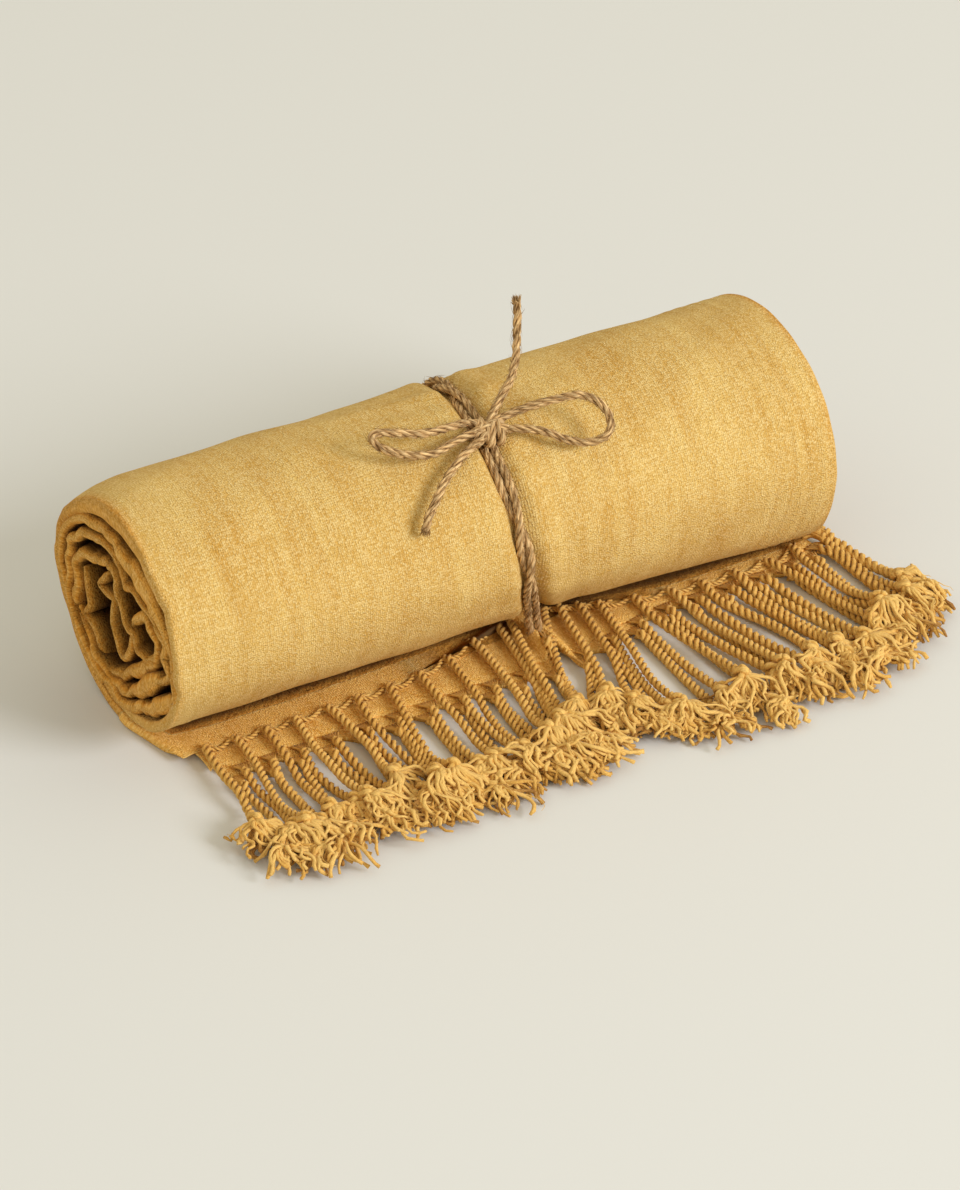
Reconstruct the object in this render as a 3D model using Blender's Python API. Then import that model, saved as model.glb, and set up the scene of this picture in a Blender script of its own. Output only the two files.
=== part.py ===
"""A chenille bedspread, folded in four and rolled up, tied with a bow of jute twine.

The roll lies along X. Its loose end comes out from under the roll at the front (-Y), where three of
the folded layers each carry a row of knotted cords. The origin is the middle of the roll's flat
underside, +Z is up, and all values are in metres.
"""

import math

import bmesh
import bpy
from mathutils import Matrix, Vector

MM = 0.001
TURN = 2 * math.pi

# ---------------------------------------------------------------- driving dimensions
ROLL_LENGTH = 450 * MM
ROLL_WIDTH = 164.6 * MM
ROLL_HEIGHT = 148.4 * MM
CLOTH = 6.0 * MM                 # four layers of the folded cloth
LAYER = CLOTH / 4
TURN_PITCH = 8.6 * MM            # how much each even turn of the roll takes
EVEN_TURNS = 2.25                # beyond these the roll is crumpled
SINK = 0.8 * MM                  # how far the roll sinks into its flat spot
FLAT_TURN = math.radians(7.5)    # the flat spot's end, as a turn from the bottom
GAP = 0.3 * MM                   # clearance between pieces that touch
STRIP_GAP = 0.5 * MM             # clearance between a fringe's strip and its layer's edge

# ---------------------------------------------------------------- twine
TWINE_DIAMETER = 5.2 * MM
WRAP_MID_X = 18 * MM
WRAP_SLANT = 14 * MM
WRAP_LEAN = math.radians(45)
WRAP_KICK = 9 * MM               # its extra slip to the right, low on the roll's front
WRAP_KICK_ANGLE = math.radians(-58)
WRAP_KICK_REACH = math.radians(25)
GROOVE_DEPTH = TWINE_DIAMETER + 4 * GAP
GROOVE_REACH = 14.5 * MM
TWINE_POINT_STEP = 10.5 * MM
KNOT_ANGLE = math.radians(68)
KNOT_SIZE = (11.5 * MM, 7.5 * MM, 7.5 * MM)
KNOT_RISE = 1.55 * MM

# ---------------------------------------------------------------- fringe
ROOT_PITCH = 21.7 * MM
CORD_HALF = 2.7 * MM
KNOT_HALF = 3.7 * MM
TUFT_HALF = 5.4 * MM
TUFT_LENGTH = 36 * MM
STRIP_DEPTH = 2.2 * MM
ROOT_HALF = 2.4 * MM
TWINE_CLEARANCE = 8.5 * MM
FAN_MIDDLE = 0.035               # the cords' mean slope towards +X
FAN_SPREAD = 0.1                 # how much more than the mean they slope at the roll's ends
CLOSE_UP = 0.11                  # how much the cords right of the twine slope back towards it
CLOSE_UP_REACH = 120 * MM
KNOT_HELD = 9 * MM               # how much further back the knots lie beside the twine

# One row for each layer's edge, uppermost first: how far in front of the roll's axis it lies, how far
# forward it stays where the twine gathers it, how wide that gather is, the height of the layer's top,
# the first cord's place, the number of cords, how far forward their knots lie and how high their tufts.
EDGE_COLUMNS = ("name", "reach", "gathered", "gather", "top", "first", "cords", "knots", "heap")
EDGES = [
    dict(zip(EDGE_COLUMNS, row))
    for row in (
        ("upper", 60 * MM, 33 * MM, 60 * MM, 4 * LAYER, -200.9 * MM, 21, 146 * MM, 10.4 * MM),
        ("middle", 84 * MM, 38 * MM, 36 * MM, 3 * LAYER, -193.3 * MM, 20, 154 * MM, 5.2 * MM),
        ("lower", 92 * MM, 40 * MM, 30 * MM, 2 * LAYER, -186.1 * MM, 20, 162 * MM, 0.0),
    )
]

# The crumpled heart of the roll, from outside to inside: each fold's turn from the bottom towards the
# back, in degrees, and its distance from the roll's axis in millimetres.
FOLD_COLUMNS = ("turn", "radius")
FOLDS = [
    dict(zip(FOLD_COLUMNS, row))
    for row in (
        (850, 56), (885, 51), (905, 42), (932, 51), (965, 56), (995, 55), (1020, 48), (1050, 53),
        (1085, 50), (1115, 51), (1145, 47), (1170, 39), (1200, 42), (1235, 38), (1265, 29),
        (1292, 37), (1325, 43), (1355, 41), (1382, 32), (1412, 38), (1445, 34), (1480, 35),
        (1520, 25), (1560, 27), (1605, 18), (1655, 19), (1705, 22), (1755, 20), (1800, 15),
        (1850, 16), (1905, 12), (1965, 8), (2040, 5.5),
    )
]
# How strongly the folds show at the left end, in the middle and at the right end.
FOLD_STRENGTH = (1.0, 0.45, 0.8)

# Stations along the roll: how far each stands from the middle (or from the twine) and how full the
# cloth is there, which rounds the folded edges at both ends.
END = ROLL_LENGTH / 2
LEFT_STATIONS = ((-END, 0.45), (-END + 2.4 * MM, 0.95), (-200 * MM, 1.0), (-150 * MM, 1.0),
                 (-90 * MM, 1.0), (-38 * MM, 1.0))
TWINE_STATIONS = (-24 * MM, -16.5 * MM, -8.5 * MM, 0.0, 5.2 * MM, 12.4 * MM, 19.6 * MM, 27 * MM)
RIGHT_STATIONS = ((99 * MM, 1.0), (150 * MM, 1.0), (198 * MM, 1.0), (END - 2.4 * MM, 0.95),
                  (END, 0.45))

TAIL_SHEAR = 0.36
TAIL_SHEAR_START = 12 * MM
TAIL_SHEAR_LIMIT = 18 * MM
SWELL = 1.2 * MM

# The roll's spiral, worked out so that the outermost turn has the roll's width and height.
QUARTER_LOSS = TURN_PITCH / 4 / ((ROLL_WIDTH + ROLL_HEIGHT) / 4)
SEMI_WIDTH = (ROLL_WIDTH - CLOTH) / (2 - 4 * QUARTER_LOSS)
SEMI_HEIGHT = (ROLL_HEIGHT - CLOTH + SINK) / (2 - 2 * QUARTER_LOSS)
MEAN_RADIUS = (SEMI_WIDTH + SEMI_HEIGHT) / 2
AXIS_Y = -QUARTER_LOSS * SEMI_WIDTH
AXIS_Z = SEMI_HEIGHT + CLOTH / 2 - SINK

# The twine's way under the loose end and up its gathered edge to the roll, as (y, z) in millimetres,
# and the turn at which it meets the roll's front, in degrees.
FLOOR_ROUTE = [(-14, 2.9), (-28, 2.9), (-46.5, 2.9), (-53.4, 5.2), (-55.6, 11), (-57.6, 20)]
FRONT_CONTACT = 305

# Routes of the bow, as points in millimetres.
LOOP_RIGHT = [(16.6, -31.8, 150.4), (34, -37, 156), (49, -42, 159), (63, -47, 160), (71, -56, 156),
              (73, -63, 149), (69, -67, 142), (59, -64, 138), (47, -58, 140), (34, -50, 146),
              (17.6, -39.3, 147)]
LOOP_LEFT = [(-3.1, -28.3, 151.8), (-18, -30, 157), (-36, -32, 161), (-53, -29, 166), (-64, -28, 167),
             (-67, -32, 162), (-59, -37, 156), (-46, -42, 151), (-34, -43, 149), (-19, -40, 149.5),
             (-3.6, -36.7, 149.5)]
TAIL_UP = [(13.2, -28.2, 151.7), (24, -21.5, 158.5), (32, -16, 162), (40, -8, 167), (46, 0, 175),
           (49, 5, 184), (50.5, 7, 192), (50, 8, 200)]
TAIL_DOWN = [(-0.9, -41.1, 146), (-15, -47, 144.5), (-26, -53, 141.5), (-37, -60, 137.5),
             (-46, -66.5, 132), (-54, -72, 126), (-58, -75, 120)]

MATERIALS = {
    "chenille": ((0.62, 0.39, 0.11, 1.0), 0.95),
    "fringe": ((0.55, 0.32, 0.08, 1.0), 0.95),
    "jute": ((0.40, 0.27, 0.13, 1.0), 0.9),
}


def smoothstep(value, low, high):
    """0 below low, 1 above high, and a smooth ramp between them."""
    share = min(1.0, max(0.0, (value - low) / (high - low)))
    return share * share * (3 - 2 * share)


def front_angle(turn):
    """The angle above the front (-Y) at which a turn from the bottom towards the back stands."""
    return math.remainder(-turn - TURN / 4, TURN)


def wrap_x(angle):
    """Where the slanted twine crosses the roll, at an angle measured up from the front."""
    kick = WRAP_KICK * math.exp(-(((angle - WRAP_KICK_ANGLE) / WRAP_KICK_REACH) ** 2))
    return WRAP_MID_X - WRAP_SLANT * math.cos(angle - WRAP_LEAN) + kick


def groove(distance):
    """How deep the twine presses into the roll at a distance from the twine's middle."""
    share = abs(distance) / GROOVE_REACH
    return GROOVE_DEPTH * math.exp(-(share ** 4)) * (share < 1.6)


BOTTOM_WRAP_X = wrap_x(front_angle(0))


# ---------------------------------------------------------------- the roll's spiral
def even_radius(turn):
    """The mean radius of the even spiral at a turn."""
    return MEAN_RADIUS - TURN_PITCH * turn / TURN


def fold_radius(turn, strength):
    """The mean radius at a turn, with the crumpled heart's folds at the given strength."""
    even_end = EVEN_TURNS * TURN
    if turn <= even_end:
        return even_radius(turn)
    last_turn, last_radius = even_end, even_radius(even_end)
    inner = math.radians(FOLDS[-1]["turn"])
    level = even_radius(even_end) + (turn - even_end) / (inner - even_end) * (
        FOLDS[-1]["radius"] * MM - even_radius(even_end))
    for fold in FOLDS:
        next_turn, next_radius = math.radians(fold["turn"]), fold["radius"] * MM
        if turn <= next_turn:
            share = (turn - last_turn) / (next_turn - last_turn)
            folded = last_radius + share * (next_radius - last_radius)
            return level + strength * (folded - level)
        last_turn, last_radius = next_turn, next_radius
    return level + strength * (last_radius - level)


def strength_at(x):
    """How strongly the crumpled folds show at a place along the roll."""
    left, middle, right = FOLD_STRENGTH
    far = left if x < 0 else right
    return middle + (far - middle) * smoothstep(abs(x), 0.35 * END, 0.9 * END)


def swell(x, turn):
    """The slow unevenness of the roll's girth, which dies away at the twine."""
    calm = 1 - math.exp(-(((x - wrap_x(front_angle(turn))) / (45 * MM)) ** 2))
    wave = math.sin(TURN * x / (118 * MM) + 1.6 * math.sin(turn)) + 0.5 * math.sin(TURN * x / (61 * MM))
    return -SWELL * (0.6 - 0.4 * wave) * calm * math.sin(turn / 2) ** 2


def middle_point(x, turn):
    """The middle of the cloth at a turn of the spiral, in the plane at x."""
    radius = fold_radius(turn, strength_at(x))
    depth = smoothstep(radius, 25 * MM, 66 * MM)
    press = groove(x - wrap_x(front_angle(turn))) * depth
    radius += swell(x, turn) * depth
    y = AXIS_Y + math.sin(turn) * (radius / MEAN_RADIUS * SEMI_WIDTH - press)
    z = AXIS_Z - math.cos(turn) * (radius / MEAN_RADIUS * SEMI_HEIGHT - press)
    if turn <= FLAT_TURN:
        z = CLOTH / 2 + press
    return Vector((x, y, z))


def outward(x, turn):
    """The direction out of the roll, square to the cloth, in the plane at x."""
    if turn <= FLAT_TURN:
        return Vector((0.0, 0.0, -1.0))
    step = math.radians(4)
    along = middle_point(x, turn + step) - middle_point(x, max(0.0, turn - step))
    return Vector((0.0, along.z, -along.y)).normalized()


# ---------------------------------------------------------------- the loose end on the floor
def edge_y(edge, x):
    """Where a layer's edge lies, gathered back at the twine."""
    pull = (edge["reach"] - edge["gathered"]) * math.exp(-(((x - BOTTOM_WRAP_X) / edge["gather"]) ** 2))
    return -edge["reach"] + pull


def shear(x, y):
    """How far the loose end has slid along the roll, more the further it reaches."""
    slide = min(TAIL_SHEAR_LIMIT, TAIL_SHEAR * max(0.0, -y - TAIL_SHEAR_START))
    return slide * (x / END) ** 4


def lift(x):
    """How far the twine lifts the loose end off the floor."""
    return groove(x - BOTTOM_WRAP_X)


def tail_rows(x):
    """The loose end's points from its front edge to the roll, as pairs of top and underside."""
    upper, middle, lower = EDGES
    step = 0.4 * MM
    middle_y, upper_y = edge_y(middle, x), edge_y(upper, x)
    rows = [
        (edge_y(lower, x), 0.0, lower["top"]),
        (middle_y, -step, lower["top"]),
        (middle_y, step, middle["top"]),
        (upper_y, -step, middle["top"]),
        (upper_y, step, upper["top"]),
        ((upper_y + AXIS_Y) / 2, 0.0, upper["top"]),
    ]
    pairs = []
    for y, under_step, top in rows:
        place = x + shear(x, y)
        rise = lift(x)
        pairs.append((Vector((place, y, top + rise)), Vector((place, y + under_step, rise))))
    return pairs


# ---------------------------------------------------------------- the bedspread
def spiral_turns():
    """The turns at which the spiral has points: fine outside, one for each fold inside."""
    turns = [0.0, FLAT_TURN] + [math.radians(18) * i for i in range(1, 20)]
    turns += [TURN + math.radians(22.5) * i for i in range(21)]
    return turns + [math.radians(fold["turn"]) for fold in FOLDS]


def end_recess(turn, side):
    """How far a turn's folded edge stands in from the roll's end, on the left (-1) or right (+1)."""
    count = turn / TURN
    if side < 0:
        return (1.6 * count + 1.5 * math.sin(2.1 * turn)) * MM * smoothstep(count, 0.8, 1.6)
    return (2.5 - 2.5 * smoothstep(count, 0.9, 1.2) + 5 * smoothstep(count, 2.0, 4.0)) * MM


def stations():
    """Places along the roll as (distance, fullness, follows the twine)."""
    rows = [(x, full, 0.0) for x, full in LEFT_STATIONS]
    rows += [(x, 1.0, 1.0) for x in TWINE_STATIONS]
    return rows + [(x, full, 0.0) for x, full in RIGHT_STATIONS]


def station_x(station, turn):
    """Where a station stands at a turn of the spiral: the middle ones follow the twine."""
    x, _, follows = station
    if follows:
        return x + wrap_x(front_angle(turn))
    side = -1 if x < 0 else 1
    return x - side * end_recess(turn, side) * smoothstep(abs(x), 0.85 * END, END)


def section(station):
    """One cross-section of the cloth as a closed loop: out along its outer face, back inside."""
    full = CLOTH / 2 * station[1]
    outer, inner = [], []
    for top, under in tail_rows(station_x(station, 0.0)):
        trim = Vector((0, 0, (top.z - under.z) / 2 * (1 - station[1]) * 0.6))
        inner.append(top - trim)
        outer.append(under + trim)
    for turn in spiral_turns():
        x = station_x(station, turn)
        centre, out = middle_point(x, turn), outward(x, turn)
        outer.append(centre + out * full)
        inner.append(centre - out * full)
    return outer + inner[::-1]


def new_object(name, mesh, material, collection):
    """A named object that shows a mesh in one material."""
    thing = bpy.data.objects.new(name, mesh)
    mesh.materials.append(material)
    collection.objects.link(thing)
    return thing


def mesh_from(shape, name):
    """A mesh data block made from a bmesh, with its faces pointing out."""
    bmesh.ops.recalc_face_normals(shape, faces=shape.faces[:])
    mesh = bpy.data.meshes.new(name)
    shape.to_mesh(mesh)
    shape.free()
    return mesh


def build_bedspread(material, collection):
    """The rolled cloth: cross-sections along the roll, lofted into one solid."""
    shape = bmesh.new()
    rings = [[shape.verts.new(point) for point in section(station)] for station in stations()]
    count = len(rings[0])
    for ring, following in zip(rings, rings[1:]):
        for i in range(count):
            j = (i + 1) % count
            shape.faces.new((ring[i], ring[j], following[j], following[i]))
    for ring in (rings[0], rings[-1]):
        for i in range(count // 2 - 1):
            shape.faces.new((ring[i], ring[i + 1], ring[count - 2 - i], ring[count - 1 - i]))
    bmesh.ops.triangulate(shape, faces=shape.faces[:])
    return new_object("bedspread", mesh_from(shape, "bedspread"), material, collection)


# ---------------------------------------------------------------- the fringe
def edge_line(edge):
    """A layer's edge as points along the roll, just where the bedspread's own mesh has them."""
    line = []
    for station in stations():
        x = station_x(station, 0.0)
        y = edge_y(edge, x)
        line.append(Vector((x + shear(x, y), y, lift(x))))
    return line


def edge_point(line, x):
    """The point of an edge at x, on the straight runs between its points."""
    for start, end in zip(line, line[1:]):
        if x <= end.x:
            break
    return start + (end - start) * ((x - start.x) / (end.x - start.x))


def cord_roots(edge):
    """Where the cords of an edge start, leaving out those that the twine would cross."""
    places = [edge["first"] + ROOT_PITCH * i for i in range(edge["cords"])]
    return [x for x in places if abs(x - BOTTOM_WRAP_X) > TWINE_CLEARANCE]


def lean(x):
    """The slope towards +X at which a cord lies: they fan out, and close up past the twine."""
    fan = FAN_MIDDLE + FAN_SPREAD * x / END + 0.01 * math.sin(x / (30 * MM))
    past = x - BOTTOM_WRAP_X
    return fan - CLOSE_UP * max(0.0, 1 - past / CLOSE_UP_REACH) * (past > 0)


def scatter(number, step):
    """A repeatable value from -1 to 1 for a numbered cord."""
    return math.sin(12.9898 * number + 4.1 * step)


def cord_stations(edge, index, x, start):
    """One cord from its root to the tip of its tuft, as (centre, half width, half height) rows."""
    lower = EDGES[2]
    slope = lean(x)
    held = KNOT_HELD * math.exp(-(((x - BOTTOM_WRAP_X) / (50 * MM)) ** 2))
    knot_y = held - edge["knots"] - 4 * MM * scatter(index, 1)
    floor = CORD_HALF
    raised = max(lift(x - 5 * MM), lift(x), lift(x + 5 * MM)) + GAP + CORD_HALF
    strip = STRIP_GAP + STRIP_DEPTH
    front = min(edge_y(lower, x + side * MM) for side in (-9, 0, 9)) - strip
    clear = min(edge_y(edge, x + side * MM) for side in (-4, 4)) - strip - 3 * MM
    rows = []
    if edge["name"] == "upper":
        ledge = edge["top"] - LAYER + raised
        rows.append((clear, ledge, CORD_HALF, CORD_HALF))
        rows.append((min(clear - 3 * MM, edge_y(EDGES[1], x) + 2 * MM), ledge, CORD_HALF, CORD_HALF))
    if edge["name"] == "lower":
        rows.append((clear, raised, CORD_HALF, CORD_HALF))
    else:
        over = lower["top"] + raised + LAYER * (edge["name"] == "upper")
        rows.append((front + 1 * MM, over, CORD_HALF, CORD_HALF))
    rows.append((front - 14 * MM, floor, CORD_HALF, CORD_HALF))
    heap = edge["heap"]
    rows.append((knot_y + 6 * MM, floor + 0.75 * heap, CORD_HALF, CORD_HALF))
    rows.append((knot_y, KNOT_HALF + heap, KNOT_HALF, KNOT_HALF))
    rows.append((knot_y - 5 * MM, floor + heap, 2.0 * MM, 2.0 * MM))
    reach = TUFT_LENGTH + 5 * MM * scatter(index, 2)
    rows.append((knot_y - 0.5 * reach, 2.2 * MM + heap, 0.6 * TUFT_HALF, 2.2 * MM))
    rows.append((knot_y - reach, 1.7 * MM + heap, TUFT_HALF, 1.7 * MM))
    fan_start = edge_y(lower, x) - strip
    placed, ahead = [], start.y
    for y, z, wide, high in rows:
        ahead = min(y, ahead - 3 * MM)
        aside = slope * max(0.0, fan_start - ahead)
        placed.append((Vector((x + aside, ahead, z)), wide, high))
    return placed


def build_fringe(edge, material, collection):
    """A narrow strip along a layer's edge with a cord drawn out of its front at every root."""
    line = edge_line(edge)
    roots = cord_roots(edge)
    root_sides = [x + side * ROOT_HALF for x in roots for side in (-1, 1)]
    inner = [point.x for point in line if line[0].x + 4 * MM < point.x < line[-1].x - 4 * MM]
    inner = [x for x in inner if min(abs(x - root) for root in root_sides) > 1 * MM
             and min(abs(x - root) for root in roots) > ROOT_HALF]
    ends = [line[0].x + 3 * MM, line[-1].x - 3 * MM]
    places = sorted(set(root_sides + inner + ends))
    base = edge["top"] - LAYER + GAP if edge["name"] != "lower" else 0.0
    top = edge["top"] - 0.2 * MM
    shape = bmesh.new()
    rings = []
    for x in places:
        at = edge_point(line, x)
        ahead, behind = edge_point(line, x + 0.5 * MM), edge_point(line, x - 0.5 * MM)
        steep = math.hypot(1.0, (ahead.y - behind.y) / MM)
        back, front = at.y - STRIP_GAP * steep, at.y - (STRIP_GAP + STRIP_DEPTH) * min(steep, 1.3)
        rings.append([shape.verts.new((x, y, z + at.z)) for y, z in
                      ((back, base), (back, top), (front, top), (front, base))])
    fronts = {}
    for x, ring, following in zip(places, rings, rings[1:]):
        for i in range(4):
            j = (i + 1) % 4
            face = shape.faces.new((ring[i], ring[j], following[j], following[i]))
            if i == 2:
                fronts[x] = face
    shape.faces.new(rings[0])
    shape.faces.new(rings[-1][::-1])
    bmesh.ops.recalc_face_normals(shape, faces=shape.faces[:])
    for index, x in enumerate(roots):
        face = fronts[x - ROOT_HALF]
        draw_cord(shape, face, cord_stations(edge, index, x, face.calc_center_median()))
    bmesh.ops.triangulate(shape, faces=shape.faces[:])
    return new_object("fringe_" + edge["name"], mesh_from(shape, "fringe"), material, collection)


def draw_cord(shape, face, rows):
    """Extrude a face again and again, placing and sizing it at each row."""
    for centre, wide, high in rows:
        face = bmesh.ops.extrude_discrete_faces(shape, faces=[face])["faces"][0]
        by_x = sorted(face.verts, key=lambda vert: vert.co.x)
        for pair, across in ((by_x[:2], -wide), (by_x[2:], wide)):
            low, above = sorted(pair, key=lambda vert: vert.co.z)
            low.co = centre + Vector((across, 0, -high))
            above.co = centre + Vector((across, 0, high))


# ---------------------------------------------------------------- the twine
def smooth_route(points):
    """Evenly spaced points on a smooth curve through a route's own points."""
    points = [Vector(point) for point in points]
    ends = [2 * points[0] - points[1]], [2 * points[-1] - points[-2]]
    padded = ends[0] + points + ends[1]
    fine = []
    for a, b, c, d in zip(padded, padded[1:], padded[2:], padded[3:]):
        for i in range(12):
            t = i / 12
            fine.append(0.5 * (2 * b + (c - a) * t + (2 * a - 5 * b + 4 * c - d) * t ** 2
                               + (3 * b - a - 3 * c + d) * t ** 3))
    fine.append(points[-1])
    lengths = [0.0]
    for start, end in zip(fine, fine[1:]):
        lengths.append(lengths[-1] + (end - start).length)
    count = max(3, round(lengths[-1] / TWINE_POINT_STEP))
    even, place = [], 0
    for i in range(count + 1):
        target = lengths[-1] * i / count
        while place < len(fine) - 2 and lengths[place + 1] < target:
            place += 1
        share = (target - lengths[place]) / (lengths[place + 1] - lengths[place])
        even.append(fine[place] + (fine[place + 1] - fine[place]) * share)
    return even


def build_twine(name, points, material, collection):
    """A plain tube of the twine's thickness along a route."""
    data = bpy.data.curves.new(name, "CURVE")
    data.dimensions = "3D"
    data.bevel_depth = TWINE_DIAMETER / 2
    data.bevel_resolution = 2
    data.use_fill_caps = True
    spline = data.splines.new("POLY")
    spline.points.add(len(points) - 1)
    for point, place in zip(spline.points, points):
        point.co = (*place, 1.0)
    data.materials.append(material)
    tube = bpy.data.objects.new(name, data)
    collection.objects.link(tube)
    return tube


def over_cloth(turn, offset, rise):
    """A point above the roll's outermost turn, beside the middle of the slanted twine."""
    x = wrap_x(front_angle(turn)) + offset
    return middle_point(x, turn) + outward(x, turn) * (CLOTH / 2 + rise)


def wrap_route(offset):
    """One turn of twine: from the knot over the top, down the back, under and up the front."""
    rise = TWINE_DIAMETER / 2 + 3 * GAP
    stand_off = (KNOT_SIZE[1] + GAP) / MEAN_RADIUS
    knot_turn = TURN * 3 / 4 - KNOT_ANGLE
    steps = 24
    points = []
    for i in range(steps):
        turn = (knot_turn - stand_off) * (1 - i / (steps - 1))
        point = over_cloth(turn, offset, rise)
        point.z = max(point.z, TWINE_DIAMETER / 2 + GAP)
        points.append(point)
    for y, z in FLOOR_ROUTE:
        x = wrap_x(math.atan2(z * MM - AXIS_Z, -y * MM)) + offset
        points.append(Vector((x, y * MM, z * MM)))
    steps = 14
    low_turn = math.radians(FRONT_CONTACT)
    for i in range(steps + 1):
        turn = low_turn + (knot_turn + stand_off - low_turn) * i / steps
        points.append(over_cloth(turn, offset, rise))
    return points


def build_knot(material, collection):
    """The bow's knot: a lumpy ball flattened against the roll."""
    shape = bmesh.new()
    bmesh.ops.create_uvsphere(shape, u_segments=14, v_segments=8, radius=1.0)
    for vert in shape.verts:
        around = math.atan2(vert.co.z, vert.co.y)
        bulge = 1 + 0.08 * math.cos(3 * around + 5 * vert.co.x)
        vert.co = Vector(c * s for c, s in zip(vert.co * bulge, KNOT_SIZE))
    tilt = Matrix.Rotation(TURN / 4 - KNOT_ANGLE, 4, "X")
    turn = Matrix.Rotation(math.radians(12), 4, "Z")
    bmesh.ops.transform(shape, matrix=tilt @ turn, verts=shape.verts[:])
    knot = new_object("bow_knot", mesh_from(shape, "bow_knot"), material, collection)
    knot.location = over_cloth(TURN * 3 / 4 - KNOT_ANGLE, 1.5 * MM, GROOVE_DEPTH + KNOT_RISE)
    return knot


def build_bow(material, collection):
    """The twine's two turns, the knot, two loops and two free ends."""
    side = TWINE_DIAMETER / 2 + GAP
    for name, offset in (("wrap_left", -side), ("wrap_right", side)):
        build_twine(name, smooth_route(wrap_route(offset)), material, collection)
    build_knot(material, collection)
    routes = {"loop_right": LOOP_RIGHT, "loop_left": LOOP_LEFT, "end_up": TAIL_UP, "end_down": TAIL_DOWN}
    for name, route in routes.items():
        build_twine(name, smooth_route([Vector(p) * MM for p in route]), material, collection)


# ---------------------------------------------------------------- the whole thing
def make_material(name):
    """A Principled material from the table of colours."""
    colour, roughness = MATERIALS[name]
    material = bpy.data.materials.new(name)
    material.use_nodes = True
    shader = material.node_tree.nodes["Principled BSDF"]
    shader.inputs["Base Color"].default_value = colour
    shader.inputs["Roughness"].default_value = roughness
    material.diffuse_color = colour
    return material


def main():
    """Clear the scene and build every piece."""
    for thing in list(bpy.data.objects):
        bpy.data.objects.remove(thing, do_unlink=True)
    collection = bpy.data.collections.new("rolled_bedspread")
    bpy.context.scene.collection.children.link(collection)
    chenille, fringe, jute = (make_material(name) for name in ("chenille", "fringe", "jute"))
    build_bedspread(chenille, collection)
    for edge in EDGES:
        build_fringe(edge, fringe, collection)
    build_bow(jute, collection)


main()
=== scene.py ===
"""A chenille bedspread, folded and rolled up, tied with a bow of jute twine.

The roll lies along X. Its loose end comes out at the front (-Y), where three of the folded layers each
carry a row of knotted cords. The frame's solids give every place: all lengths are in metres, +Z is up.
"""

import logging
import math
from dataclasses import dataclass, field
from enum import Enum

import bmesh
import bpy
import numpy as np
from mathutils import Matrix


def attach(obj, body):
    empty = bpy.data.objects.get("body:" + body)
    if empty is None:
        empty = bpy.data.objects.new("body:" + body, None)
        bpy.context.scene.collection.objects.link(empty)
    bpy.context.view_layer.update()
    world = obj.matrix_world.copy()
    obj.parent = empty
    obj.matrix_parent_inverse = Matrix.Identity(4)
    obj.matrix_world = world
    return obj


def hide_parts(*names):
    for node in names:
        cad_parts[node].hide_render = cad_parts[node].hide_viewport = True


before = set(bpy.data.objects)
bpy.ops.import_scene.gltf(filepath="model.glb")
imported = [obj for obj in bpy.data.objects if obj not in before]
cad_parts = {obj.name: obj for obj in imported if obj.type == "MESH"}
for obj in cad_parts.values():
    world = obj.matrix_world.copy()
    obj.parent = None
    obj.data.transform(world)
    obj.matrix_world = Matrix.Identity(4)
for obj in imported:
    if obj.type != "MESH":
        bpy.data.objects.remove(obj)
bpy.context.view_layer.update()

MM = 0.001
TURN = 2 * math.pi
BODY = "root"
# The seed of the first row of cords, and how far above the floor each strand and layer keeps.
FIRST_SEED = 40
LEAST_HEIGHT = 0.1 * MM
# How long the folded strip is, laid flat from the roll's heart to its edge, and how long its layers'
# edges are along the roll.
STRIP_LENGTH = 1.95
LAYER_LENGTH = 0.43
LOG = logging.getLogger("bedspread")

Array = np.ndarray
Socket = bpy.types.NodeSocket
Colour = tuple[float, float, float]
# The closed loop of points across the strip: their places along it, how far past its end they are and
# their shares of half its thickness.
Columns = tuple[Array, Array, Array]


# ---------------------------------------------------------------- small tools
def smoothstep(value: Array, low: float, high: float) -> Array:
    """0 below low, 1 above high, and a smooth ramp between them.

    Args:
        value: The numbers to place on the ramp.
        low: Where the ramp starts.
        high: Where it ends.

    Returns:
        The ramp's height for each value.
    """
    share = np.clip((np.asarray(value, float) - low) / (high - low), 0.0, 1.0)
    return share * share * (3 - 2 * share)


def bell(distance: Array, reach: float) -> Array:
    """A round hump, 1 in the middle, that dies away over a reach."""
    return np.exp(-((np.asarray(distance, float) / reach) ** 2))


def unit(vectors: Array) -> Array:
    """Vectors scaled to a length of one."""
    length = np.linalg.norm(vectors, axis=-1, keepdims=True)
    return vectors / np.maximum(length, 1e-12)


def lengths_along(line: Array) -> Array:
    """How far each point of a line lies from its start."""
    steps = np.linalg.norm(np.diff(line, axis=0), axis=1)
    return np.concatenate([[0.0], np.cumsum(steps)])


def evenly(line: Array, count: int) -> Array:
    """A line with that many points, evenly spaced along it."""
    far = lengths_along(line)
    wanted = np.linspace(0.0, far[-1], count)
    return np.stack([np.interp(wanted, far, line[:, i]) for i in range(line.shape[1])], axis=1)


def smooth_line(points: Array | list, step: float) -> Array:
    """A smooth line through given points.

    Args:
        points: The points, in order.
        step: About how far apart the line's own points are to be.

    Returns:
        The line's points, evenly spaced.
    """
    knots = np.asarray(points, float)
    padded = np.vstack([2 * knots[0] - knots[1], knots, 2 * knots[-1] - knots[-2]])
    share = np.linspace(0, 1, 12, endpoint=False)[:, None]
    pieces = []
    for a, b, c, d in zip(padded, padded[1:], padded[2:], padded[3:]):
        pieces.append(0.5 * (2 * b + (c - a) * share + (2 * a - 5 * b + 4 * c - d) * share**2
                             + (3 * b - a - 3 * c + d) * share**3))
    line = np.vstack(pieces + [knots[-1:]])
    return evenly(line, max(4, round(lengths_along(line)[-1] / step) + 1))


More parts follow.
